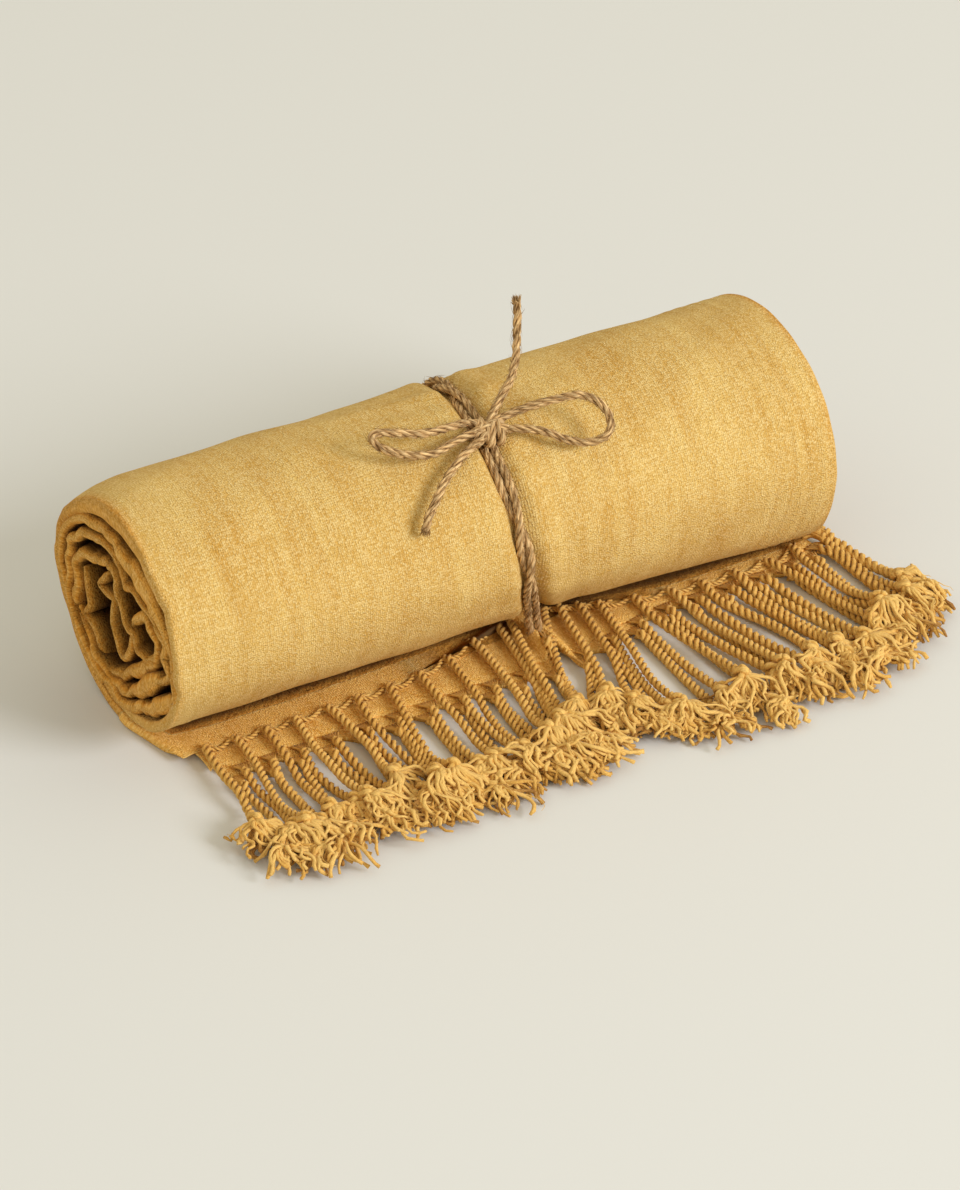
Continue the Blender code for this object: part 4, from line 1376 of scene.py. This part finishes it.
# ---------------------------------------------------------------- the loose end's other layers
@dataclass
class LooseEnd:
    """The second and third layers of the loose end, whose edges are drawn out into points."""

    material: bpy.types.Material
    # How far the edge's points stand out, and how far back the layer runs under the one above.
    point_length: float = 9 * MM
    hidden: float = 13 * MM
    columns: int = 360
    rows: int = 24

    def build(self, edge: LayerEdge) -> bpy.types.Object:
        """Make one layer.

        Args:
            edge: The layer's edge.

        Returns:
            The piece.
        """
        first, last = -ROLL.end + edge.trim, ROLL.end - 3 * MM
        spread = np.linspace(first, last, self.columns)[None] * np.ones((self.rows, 1))
        share = np.linspace(0, 1, self.rows)[:, None]
        # The edge is drawn out into a point at each cord and stands back between them.
        arch = 1 - np.abs(np.sin(math.pi * (spread - edge.first) / ROOT_PITCH))
        closed_up = 1 - 0.6 * smoothstep(spread, 30 * MM, 115 * MM)
        corner = 7 * MM * bell(spread - first, 8 * MM)
        front = edge.y(spread) + corner + (0.45 - arch) * self.point_length * closed_up
        start = np.minimum(-28 * MM, EDGES[Layer.UPPER].y(spread) + self.hidden)
        y = start + (np.minimum(front, start - 2 * MM) - start) * share
        lift = ROLL.groove(spread - ROLL.wrap_bottom)
        bulge = np.sin(math.pi * (spread - edge.first) / ROOT_PITCH) ** 2 * smoothstep(share, 0.5, 0.9)
        wave = np.sin(spread / (13 * MM) + 2 * np.sin(spread / (37 * MM)))
        wave = 0.4 * MM * wave * smoothstep(share, 0.3, 0.8)
        droop = 0.9 * MM * smoothstep(share, 0.82, 1.0)
        z = edge.top - edge.thickness / 2 + lift + np.maximum(wave, -0.2 * MM) + 0.8 * MM * bulge - droop
        z = np.maximum(z, edge.thickness / 2 + LEAST_HEIGHT)
        places = np.stack([spread + shear(spread, y), y, z], axis=-1)
        cloth = np.stack([spread, y], axis=-1)
        name = "layer_" + edge.layer.value
        # The layer gets painted light all over.
        piece = shaped_grid(name, places, cloth, 1.06 * np.ones_like(share), self.material, closed=False)
        take(piece)
        solid = piece.modifiers.new("thickness", "SOLIDIFY")
        solid.thickness = edge.thickness
        solid.offset = 0.0
        bpy.ops.object.modifier_apply(modifier=solid.name)
        return piece


# ---------------------------------------------------------------- the fringe
@dataclass
class Fringe:
    """Knotted cords of two twisted plies, each ending in a loose tuft of yarns."""

    material: bpy.types.Material
    cord: float = 6.0 * MM
    pitch: float = 10.2 * MM
    tuft_locks: int = 4
    lock_yarns: int = 8
    tuft_length: float = 38 * MM
    yarn: float = 1.32 * MM
    yarn_points: int = 10
    # Past these places along the roll and in front of it, a tuft's yarns crowd together.
    crowd: tuple[float, float] = (-222 * MM, 258 * MM)
    front: float = -206 * MM
    # How much further to the right the lower rows' cords end at the right, in the upper row's gaps.
    even_out: float = 4.3 * MM
    # Along the roll, in millimetres: how the cords slant towards +X, in degrees, and where their knots lie.
    lies: tuple[tuple[float, float, float], ...] = (
        (-205, -5, -145), (-183, -2, -150), (-161, -5, -149), (-140, 1, -150), (-118, 0, -145),
        (-96, -4, -151), (-75, -5, -154), (-53, -1, -150), (-31, -3, -156), (-10, -5, -152), (12, -10, -148),
        (24, -13, -146), (34, -16, -140), (45, -20, -132), (56, -14, -140), (67, -10, -150), (77, -4, -158),
        (99, 5, -162), (121, 7, -162), (142, 7, -160), (164, 8, -154), (186, 9, -146), (207, 7, -138),
        (229, 6, -127),
    )
    # Which way the tufts point, measured from -Y towards +X, as (x in millimetres, degrees).
    headings: tuple[tuple[float, float], ...] = (
        (-202, -20), (-180, -2), (-150, 0), (-60, 0), (20, -4), (80, 0), (150, 4), (205, 14), (232, 42),
    )

    def lie(self, x: float) -> tuple[float, float]:
        """How a cord that starts at x slants, in radians, and where its knot lies."""
        places, slants, knots = np.array(self.lies, float).T
        slant, knot = (float(np.interp(x, places * MM, values)) for values in (slants, knots))
        return math.radians(slant), knot * MM

    def cord_line(self, edge: LayerEdge, x: float, rng: np.random.Generator) -> Array:
        """The middle line of one cord, from its root to its knot.

        Args:
            edge: The layer's edge that it grows from.
            x: Where its root is.
            rng: The row's random numbers.

        Returns:
            The line's points.
        """
        lower = EDGES[Layer.LOWER]
        upper = edge.layer is Layer.UPPER
        radius = self.cord / 2
        slant, knot_y = self.lie(x)
        slope = math.tan(slant + math.radians(rng.normal(0, 1.5)))
        slope += self.even_out * (not upper) * float(smoothstep(x, 40 * MM, 100 * MM)) / (90 * MM)
        start_y = float(edge.y(x)) + (1.5 if upper else -4.5) * MM
        knot_y = knot_y - edge.knots - rng.normal(0, 3.2 if upper else 5.5) * MM
        lift = float(ROLL.groove(x - ROLL.wrap_bottom))
        front = float(lower.y(x)) - 4 * MM
        bow, late = rng.normal(0, 2.2) * MM, rng.normal(0, 1.3) * MM
        # The cord comes down over the lower layers, lies on the floor and rises to its knot.
        rows = [(start_y, edge.top + lift + (1.0 if upper else 0.2) * MM)]
        rows.append((start_y - 5 * MM, edge.top + lift + (2.0 if upper else 1.0) * MM))
        if upper:
            rows.append((start_y - 13 * MM, EDGES[Layer.MIDDLE].top + radius + 0.5 * MM + lift))
        rows.append((front + 3 * MM, lower.top + radius + lift + (1.2 * MM if upper else 0.3 * MM)))
        rows.append((front - 16 * MM, radius + rng.uniform(0, 0.6) * edge.heap))
        rows.append(((front - 16 * MM + knot_y) / 2, radius + rng.uniform(0.0, 0.6) * edge.heap))
        rows.append((knot_y, 5.2 * MM + edge.heap * rng.uniform(0.5, 1.0)))
        points, ahead = [], start_y + 1 * MM
        for y, z in rows:
            ahead = min(y, ahead - 2.5 * MM)
            far = min(1.0, max(0.0, (start_y - ahead) / (start_y - knot_y)))
            aside = slope * (start_y - ahead) + bow * math.sin(math.pi * far) + late * math.sin(TURN * far)
            points.append((x + float(shear(x, start_y)) + aside, ahead, z))
        line = smooth_line(points, 2.2 * MM)
        line[:, 2] = np.maximum(line[:, 2], radius)
        return line

    def knot(self, bundle: Strands, centre: Array, along: Array, tint: float, spin: float) -> None:
        """An overhand knot: a fat strand that goes round itself, drawn as a small trefoil.

        Args:
            bundle: Where the strand goes.
            centre: The knot's middle.
            along: The cord's direction there.
            tint: How pale it is.
            spin: How it is turned about the cord.
        """
        size, thick, steps = 3.3 * MM, 2.3 * MM, 44
        side = unit(np.cross(along, (0.0, 0.0, 1.0)))
        up = np.cross(side, along)
        side, up = side * math.cos(spin) + up * math.sin(spin), up * math.cos(spin) - side * math.sin(spin)
        t = np.linspace(0, TURN, steps)[:, None]
        ring = (2.1 + np.cos(3 * t)) / 3
        across = side * ring * np.cos(2 * t) + up * ring * np.sin(2 * t)
        line = centre + size * (across + 0.9 * along * np.sin(3 * t))
        line[:, 2] = np.maximum(line[:, 2], thick)
        lumps = thick * (1 + 0.12 * np.sin(11 * t[:, 0]))
        core = np.repeat(centre[None], steps, axis=0)
        # Painted shade in the knot's crevices and a painted highlight on its outside.
        bundle.add(line, lumps, tint + 0.08, core=core, crown=size + thick)

    def tuft(self, bundle: Strands, start: Array, heading: float, tint: float,
             rng: np.random.Generator) -> None:
        """The loose yarns beyond a knot, splayed and curled on what they lie on.

        Args:
            bundle: Where the yarns go.
            start: The knot's middle.
            heading: Which way the tuft points, from -Y towards +X.
            tint: How pale the cord is.
            rng: The row's random numbers.
        """
        share = np.linspace(0, 1, self.yarn_points)
        locks = self.tuft_locks + int(rng.integers(0, 2))
        for lock in range(locks):
            # What the lock's yarns share: where it points, how it curls and where it comes down.
            lean = heading + (lock / (locks - 1) - 0.5) * 1.15 + rng.normal(0, 0.25)
            far = self.tuft_length * rng.uniform(0.60, 1.05)
            curl, land = rng.normal(0, 0.5), rng.uniform(1.2, 7.5) * MM
            hump, settle_by = rng.uniform(-1.0, 7.0) * MM, rng.uniform(0.55, 1.0)
            wave, beat = rng.uniform(0, TURN), rng.uniform(6, 12)
            # Each lock takes a random tint, darker on average than its cord, which is painted shade.
            tone_and_shade = tint + rng.normal(-0.27, 0.17)
            for _ in range(self.lock_yarns):
                reach = far * rng.uniform(0.45, 1.06)
                bend = rng.uniform(0.3, 1.25) * np.sin(wave + rng.normal(0, 0.9) + share * beat)
                turn = lean + rng.normal(0, 0.22) + (curl + rng.normal(0, 0.35)) * share
                turn = turn + bend * smoothstep(share, 0.1, 0.5)
                way = np.stack([np.sin(turn), -np.cos(turn), 0 * turn], axis=1)
                step = reach / (self.yarn_points - 1) * way
                line = start + np.cumsum(step, axis=0) - step[:1]
                # Past the crowding limits the yarn is held back.
                line[:, 0] += rng.normal(0, 2.2) * MM * smoothstep(share, 0, 0.3)
                line[:, 0] -= 0.75 * (line[:, 0] - np.clip(line[:, 0], *self.crowd))
                line[:, 1] += 0.75 * np.maximum(0.0, self.front - line[:, 1])
                # It humps up, comes down and lies on the floor or on the other yarns.
                drop = (land + rng.uniform(0, 3.6) * MM - start[2]) * smoothstep(share, 0.0, settle_by)
                line[:, 2] = start[2] + drop + hump * np.sin(math.pi * share**0.8)
                line[:, 2] += rng.uniform(0.4, 1.8) * MM * np.cos(wave + share * beat * 1.3) * share
                line[:, 2] = np.maximum(line[:, 2], 0.8 * MM)
                lumps = 1 + 0.20 * np.sin(19 * share + wave) + 0.14 * np.sin(37 * share + 2 * turn)
                thick = self.yarn * rng.uniform(0.72, 1.2) * (1 - 0.12 * share) * lumps
                # Painted shade and light: the lower a yarn lies, the darker it is; it is paler towards its
                # tips too.
                high = line[:, 2] / (9 * MM) - 0.55
                pale = np.clip(tone_and_shade + rng.normal(0, 0.24) + 0.20 * share + 0.85 * high, 0, 1)
                bundle.add(line, thick, pale, flat=0.72)
                # Now and then a finer yarn parts from it.
                if rng.random() < 0.15:
                    aside = np.array([rng.normal(0, 2.4), rng.normal(0, 2.4), rng.uniform(-0.5, 3.0)]) * MM
                    hair = line[4:] + np.outer(smoothstep(share[4:], 0.3, 1.0), aside)
                    bundle.add(hair, 0.42 * MM * (1.3 - share[4:]), np.clip(pale[4:] + 0.25, 0, 1))

    def root(self, bundle: Strands, edge: LayerEdge, x: float, line: Array, tint: float,
             rng: np.random.Generator) -> None:
        """The warp yarns that are drawn together from the layer's edge into a cord.

        Args:
            bundle: Where the yarns go.
            edge: The layer's edge.
            x: Where the cord's root is.
            line: The cord's middle line.
            tint: How pale the cord is.
            rng: The row's random numbers.
        """
        upper = edge.layer is Layer.UPPER
        lift = float(ROLL.groove(x - ROLL.wrap_bottom))
        # A twisted edge runs from each cord of the upper row to the next.
        if upper and x + ROOT_PITCH < ROLL.end:
            side = [(2.0, -2.2, 0.4), (8.0, -3.6, -0.3), (14.0, -2.4, 0.2), (19.5, 0.6, 0.9)]
            points = []
            for ahead, front, rise in side:
                place = x + ahead * MM
                y = float(edge.y(place)) + (front + rng.normal(0, 0.3)) * MM
                over = float(ROLL.groove(place - ROLL.wrap_bottom))
                points.append((place + float(shear(place, y)), y, edge.top + over + rise * MM))
            bundle.ply(smooth_line(points, 1.5 * MM), 1.5 * MM, 2, 6.5 * MM, tint, rng.uniform(0, TURN))
        if upper and x > ROLL.end + 2 * MM:
            self.corner(bundle, edge, line, tint, rng)
        for offset in (-5.5, -3.0, -1.0, 1.0, 3.0, 5.5):
            place = np.minimum(x + offset * MM, ROLL.end - 4 * MM + 0.3 * offset * MM)
            y = float(edge.y(place)) + (1.5 if upper else 0.5) * MM
            begin = np.array([float(place + shear(place, y)), y, edge.top + lift - 0.2 * MM])
            middle = begin * 0.4 + line[2] * 0.6 + np.array([0, 0, 0.5 * MM])
            route = smooth_line([begin, middle, line[4]], 1.8 * MM)
            bundle.add(route, 0.8 * MM, np.clip(tint + rng.normal(-0.05, 0.1), 0, 1))

    def corner(self, bundle: Strands, edge: LayerEdge, line: Array, tint: float,
               rng: np.random.Generator) -> None:
        """The yarns of the cloth's right corner, drawn out sideways into one of the last cords.

        Args:
            bundle: Where the yarns go.
            edge: The layer's edge.
            line: The cord's middle line.
            tint: How pale the cord is.
            rng: The row's random numbers.
        """
        for y in np.linspace(-16 * MM, -45 * MM, 14):
            x = ROLL.end - rng.uniform(1.0, 7.0) * MM
            begin = np.array([x + float(shear(x, y)), y, edge.top + rng.uniform(-1.6, 0.2) * MM])
            tip = line[5] + rng.normal(0, 0.7, 3) * MM
            middle = begin * 0.45 + tip * 0.55 + np.array([1.5, 2.0, rng.uniform(0.5, 2.5)]) * MM
            route = smooth_line([begin, middle, tip], 1.8 * MM)
            bundle.add(route, 1.15 * MM, np.clip(tint + rng.normal(-0.02, 0.12), 0, 1))

    def build(self, edge: LayerEdge, seed: int) -> bpy.types.Object:
        """Make one row of cords.

        Args:
            edge: The layer's edge that carries them.
            seed: The row's seed.

        Returns:
            The piece.
        """
        rng = np.random.default_rng(seed)
        bundle = Strands("cords_" + edge.layer.value, sides=5)
        for x in edge.roots(ROOT_PITCH, TWINE_CLEARANCE):
            tint = float(np.clip(rng.normal(0.5, 0.09), 0.3, 0.7))
            line = self.cord_line(edge, x, rng)
            plump = 1 + 0.11 * float(smoothstep(x, 50 * MM, 110 * MM))
            thick = self.cord / 2 * rng.uniform(0.88, 1.06) * plump
            pitch = self.pitch * rng.uniform(0.88, 1.12)
            bundle.ply(line, thick, 2, pitch, tint, rng.uniform(0, TURN), apart=0.48, beads=0.05)
            self.root(bundle, edge, x, line, tint, rng)
            along = unit(line[-1] - line[-3])
            self.knot(bundle, line[-1], along, tint, rng.uniform(0, TURN))
            ahead = float(line[-1][0]) / MM
            heading = np.interp(ahead, *zip(*self.headings))
            heading = math.radians(heading) + rng.normal(0, 0.18)
            self.tuft(bundle, line[-1] + along * 2 * MM, heading, tint, rng)
        return bundle.build(self.material)


# ---------------------------------------------------------------- the twine
@dataclass
class TwineBow:
    """Jute twine: two turns round the roll, a knot, two loops and two free ends."""

    material: bpy.types.Material
    knot_angle: float = math.radians(68)
    knot_size: tuple[float, float, float] = (11.5 * MM, 7.5 * MM, 7.5 * MM)
    knot_rise: float = 1.55 * MM
    front_contact: float = math.radians(305)
    plies: int = 3
    apart: float = 0.45
    pitch: float = 22 * MM
    hair_points: int = 5
    hair_spacing: float = 0.75 * MM
    knot_hairs: int = 90
    brush_fibres: int = 44
    knot_seed: int = 5
    twine_seed: int = 17
    # The twine's way under the loose end, as (y, z) in millimetres.
    floor_route: tuple[tuple[float, float], ...] = (
        (-14, 2.9), (-28, 2.9), (-46.5, 2.9), (-53.4, 5.2), (-55.6, 11), (-57.6, 20),
    )
    # The bow's routes, as points in millimetres.
    routes: dict[str, tuple[tuple[float, float, float], ...]] = field(default_factory=lambda: {
        "loop_right": (
            (16.6, -31.8, 150.4), (34, -37, 156), (49, -42, 159), (63, -47, 160), (71, -56, 156),
            (73, -63, 149), (69, -67, 142), (59, -64, 138), (47, -58, 140), (34, -50, 146),
            (17.6, -39.3, 147),
        ),
        "loop_left": (
            (-3.1, -28.3, 151.8), (-18, -31, 154), (-36, -33, 156.5), (-53, -31, 161), (-65, -29, 163.5),
            (-68, -32, 160), (-60, -38, 154.5), (-47, -43, 150.5), (-34, -44, 148.5), (-19, -40, 149.5),
            (-3.6, -36.7, 149.5),
        ),
        "end_up": (
            (13.2, -28.2, 151.7), (24, -21.5, 158.5), (32, -16, 162), (40, -8, 167), (46, 0, 175),
            (49, 5, 184), (50.5, 7, 192), (50, 8, 200),
        ),
        "end_down": (
            (-0.9, -41.1, 146), (-15, -47, 144.5), (-26, -53, 141.5), (-37, -60, 137.5),
            (-46, -66.5, 132), (-54, -72, 126), (-58, -75, 120),
        ),
    })

    @property
    def knot_turn(self) -> float:
        """The turn at which the knot lies."""
        return TURN * 3 / 4 - self.knot_angle

    def wrap_line(self, side: float) -> Array:
        """One turn of twine: from the knot over the top, down the back, under and up the front.

        The two turns go once round each other above the knot, and once more down the front.

        Args:
            side: How far beside the middle of the two turns it runs.

        Returns:
            The line's points.
        """
        rise = ROLL.twine / 2 + 3 * ROLL.gap
        stand_off = (self.knot_size[1] + ROLL.gap) / ROLL.mean_radius
        points, knot_turn = [], self.knot_turn
        for turn in np.linspace(knot_turn - stand_off, 0.0, 30):
            wound = TURN * float(smoothstep((knot_turn - turn) / knot_turn, 0.03, 0.42))
            point = ROLL.over_cloth(turn, side * math.cos(wound), rise + side * 0.8 * math.sin(wound))
            point[2] = max(point[2], ROLL.twine / 2 + ROLL.gap)
            points.append(point)
        for y, z in self.floor_route:
            x = float(ROLL.wrap_x(math.atan2(z * MM - ROLL.axis_z, -y * MM))) + side
            points.append(np.array([x, y * MM, z * MM]))
        for turn in np.linspace(self.front_contact, knot_turn + stand_off, 22):
            share = (self.front_contact - turn) / (self.front_contact - knot_turn)
            wound = TURN * float(smoothstep(share, 0.05, 0.85))
            points.append(ROLL.over_cloth(turn, side * math.cos(wound), rise - side * 0.8 * math.sin(wound)))
        return smooth_line(points, 4 * MM)

    def twist(self, bundle: Strands, line: Array, tint: float, rng: np.random.Generator) -> None:
        """Twist the twine's plies along a line.

        Args:
            bundle: Where the plies go.
            line: The twine's middle line.
            tint: How pale it is.
            rng: The random numbers.
        """
        phase = rng.uniform(0, TURN)
        bundle.ply(line, ROLL.twine / 2, self.plies, self.pitch, tint, phase, self.apart)

    def fuzz(self, bundle: Strands, line: Array, hairs: int, rng: np.random.Generator) -> None:
        """Fine fibres that stand off the twine.

        Args:
            bundle: Where the fibres go.
            line: The twine's middle line.
            hairs: How many fibres there are.
            rng: The random numbers.
        """
        side, up = Strands.across(line)
        along = unit(np.gradient(line, axis=0))
        share = np.linspace(0, 1, self.hair_points)[:, None]
        for _ in range(hairs):
            i = int(rng.integers(1, len(line) - 1))
            angle = rng.uniform(0, TURN)
            out = side[i] * math.cos(angle) + up[i] * math.sin(angle)
            way = along[i] * rng.choice((-1, 1))
            reach, stand = rng.uniform(3, 8) * MM, rng.uniform(0.4, 2.2) * MM
            hair = line[i] + out * (ROLL.twine / 2 * 0.9 + stand * share**0.7) + way * reach * share
            hair = hair + np.cross(out, way) * rng.normal(0, 1.2) * MM * share**2
            hair[:, 2] = np.maximum(hair[:, 2], 0.3 * MM)
            bundle.add(hair, 0.15 * MM * (1.2 - share[:, 0]), rng.uniform(0.2, 0.9))

    def brush(self, bundle: Strands, line: Array, rng: np.random.Generator) -> None:
        """The frayed fibres at a cut end."""
        along = unit(line[-1] - line[-2])
        side, up = Strands.across(line)
        share = np.linspace(0, 1, self.hair_points)[:, None]
        for _ in range(self.brush_fibres):
            angle, far = rng.uniform(0, TURN), rng.uniform(0.2, 1.0)
            out = side[-1] * math.cos(angle) + up[-1] * math.sin(angle)
            reach = rng.uniform(2.5, 6) * MM
            spread = out * far * ROLL.twine * (0.42 + 0.34 * share)
            fibre = line[-1] + spread + along * (reach * share - 2 * MM)
            bundle.add(fibre, 0.38 * MM * (1.25 - share[:, 0]), rng.uniform(0.3, 0.9))

    def knot(self, loose: Strands) -> bpy.types.Object:
        """The bow's knot: strands that cross over a core.

        Args:
            loose: Where its loose fibres go.

        Returns:
            The piece.
        """
        centre = ROLL.over_cloth(self.knot_turn, 1.5 * MM, ROLL.groove_depth + self.knot_rise)
        out = ROLL.outward(centre[0], self.knot_turn)
        axis = unit(np.array([1.0, -0.2, -0.06]))
        down = unit(np.cross(out, axis))
        rng = np.random.default_rng(self.knot_seed)
        bundle = Strands("knot_strands", sides=8)
        t = np.linspace(0, TURN, 30)[:, None]
        for shift, tilt, tall in ((-5.6, 0.4, 6.8), (-1.8, -0.3, 8.0), (2.2, 0.35, 8.2), (6.0, -0.2, 7.0)):
            line = centre + axis * (shift * MM + tilt * 5 * MM * np.cos(t)) + out * 5.8 * MM * np.sin(t)
            line = line + down * tall * MM * np.cos(t)
            self.twist(bundle, line, 0.5, rng)
        # The crossing strands' tints paint shade: the lower a strand lies, the darker it is.
        for rise, slope, tint in ((3.4, 0.55, 0.6), (1.0, -0.5, 0.5), (-1.6, 0.15, 0.4)):
            share = np.linspace(-1, 1, 14)[:, None]
            arch = out * (rise * MM + (2.6 if rise > 3 else 0.5) * MM * (1 - share**2))
            line = centre + axis * share * 10 * MM + down * slope * share * 9 * MM + arch
            self.twist(bundle, line, tint, rng)
        for name, route in self.routes.items():
            ends = (route[0], route[-1]) if name.startswith("loop") else (route[0],)
            for end in ends:
                leave = np.array(end) * MM
                inside = centre + (leave - centre) * 0.25 + out * 2.2 * MM
                between = (inside + leave) / 2 + out * 1.2 * MM
                line = smooth_line([inside, between, leave], 2 * MM)
                self.twist(bundle, line, 0.5, rng)
        route = centre + axis * np.linspace(-9, 9, 12)[:, None] * MM
        self.fuzz(loose, route, self.knot_hairs, rng)
        return bundle.build(self.material)

    def build(self) -> None:
        """Make and place every length of twine."""
        side = ROLL.twine / 2 + ROLL.gap
        rng = np.random.default_rng(self.twine_seed)
        loose = Strands("jute_fibres", sides=3)
        settle(self.knot(loose), "jute", "bow_knot")
        lines = {"wrap_left": self.wrap_line(-side), "wrap_right": self.wrap_line(side)}
        for name, route in self.routes.items():
            lines[name] = smooth_line(np.array(route) * MM, 3 * MM)
        for name, line in lines.items():
            length = float(lengths_along(line)[-1])
            free = name.startswith("end")
            bundle = Strands("twine_" + name, sides=7)
            self.twist(bundle, line, 0.52, rng)
            piece = bundle.build(self.material)
            settle(piece, "jute", name)
            self.fuzz(loose, line, int(length / self.hair_spacing), rng)
            if free:
                self.brush(loose, line, rng)
        settle(loose.build(self.material), "jute")


# ---------------------------------------------------------------- the studio
@dataclass
class Studio:
    """A pale seamless floor, soft light from the right, and the camera."""

    azimuth: float = math.radians(-29.7)
    elevation: float = math.radians(34.3)
    distance: float = 2646 * MM
    target: tuple[float, float, float] = (21.1 * MM, 0.0, 4.6 * MM)
    lens: float = 131.3
    floor_colour: Colour = (0.715, 0.706, 0.645)
    key_from: tuple[float, float, float] = (0.47, -0.76, 0.45)
    key_distance: float = 6.5
    key_power: float = 352.0
    key_size: float = 2.7
    key_colour: Colour = (0.86, 0.89, 1.0)
    surroundings: float = 0.745
    surroundings_colour: Colour = (1.0, 0.955, 0.835)

    def camera(self) -> None:
        """Set up the camera."""
        flat = math.cos(self.elevation)
        across, ahead = math.sin(self.azimuth), -math.cos(self.azimuth)
        back = np.array([across * flat, ahead * flat, math.sin(self.elevation)])
        place = np.array(self.target) + back * self.distance
        rotation = (math.pi / 2 - self.elevation, 0.0, self.azimuth)
        bpy.ops.object.camera_add(location=tuple(place), rotation=rotation)
        camera = bpy.context.active_object
        camera.data.lens = self.lens
        camera.data.sensor_width = 36.0
        camera.data.sensor_fit = "AUTO"
        camera.data.clip_end = 50.0
        bpy.context.scene.camera = camera

    def floor(self) -> None:
        """Lay the floor."""
        deselect_all()
        bpy.ops.mesh.primitive_plane_add(size=40.0, location=(0, 0, 0))
        floor = bpy.context.active_object
        floor.name = "studio_floor"
        material, make, shader = new_material("pale_floor")
        place = make.add("ShaderNodeTexCoord").outputs["Object"]
        grain = make.noise(place, 900.0, 2.0, 0.5)
        pale = tuple(min(1.0, value * 1.02) for value in self.floor_colour)
        make.feed(shader.inputs["Base Color"], make.mix(grain, (*self.floor_colour, 1), (*pale, 1)))
        set_inputs(shader, {"Roughness": 0.95, "Specular IOR Level": 0.1})
        floor.data.materials.append(material)

    def lights(self) -> None:
        """Set the soft key light and the pale surroundings."""
        world = bpy.data.worlds.new("studio")
        world.use_nodes = True
        colours = {"Color": (*self.surroundings_colour, 1), "Strength": self.surroundings}
        set_inputs(world.node_tree.nodes["Background"], colours)
        bpy.context.scene.world = world
        way = unit(np.array(self.key_from))
        place = way * self.key_distance
        bpy.ops.object.light_add(type="AREA", location=tuple(place))
        key = bpy.context.active_object
        key.name = "key"
        key.data.shape = "DISK"
        key.data.size = self.key_size
        key.data.energy = self.key_power
        key.data.color = self.key_colour
        flat = math.hypot(way[0], way[1])
        key.rotation_euler = (math.atan2(flat, way[2]), 0.0, math.atan2(way[0], -way[1]))

    def build(self) -> None:
        """Set up the whole studio."""
        scene = bpy.context.scene
        scene.view_settings.view_transform = "Standard"
        self.camera()
        self.floor()
        self.lights()


def main() -> None:
    """Build the bedspread, its fringe, its twine and the studio."""
    logging.basicConfig(level=logging.INFO, format="%(name)s: %(message)s")
    Studio().build()
    finishes = Finishes()
    TwineBow(finishes.jute).build()
    roll = RolledCloth(finishes.cloth).build()
    settle(roll, "chenille", "bedspread")
    sheets, rows = {Layer.UPPER: (roll, (ROLL.length, STRIP_LENGTH))}, {}
    loose = LooseEnd(finishes.cloth)
    fringe = Fringe(finishes.fringe)
    for seed, (layer, edge) in enumerate(EDGES.items(), start=FIRST_SEED):
        cords = fringe.build(edge, seed)
        settle(cords, "fringe", "fringe_" + layer.value)
        rows[layer] = cords
        if layer is not Layer.UPPER:
            sheet = loose.build(edge)
            settle(sheet, "chenille")
            sheets[layer] = (sheet, (LAYER_LENGTH, edge.shows))


if __name__ == "__main__":
    main()
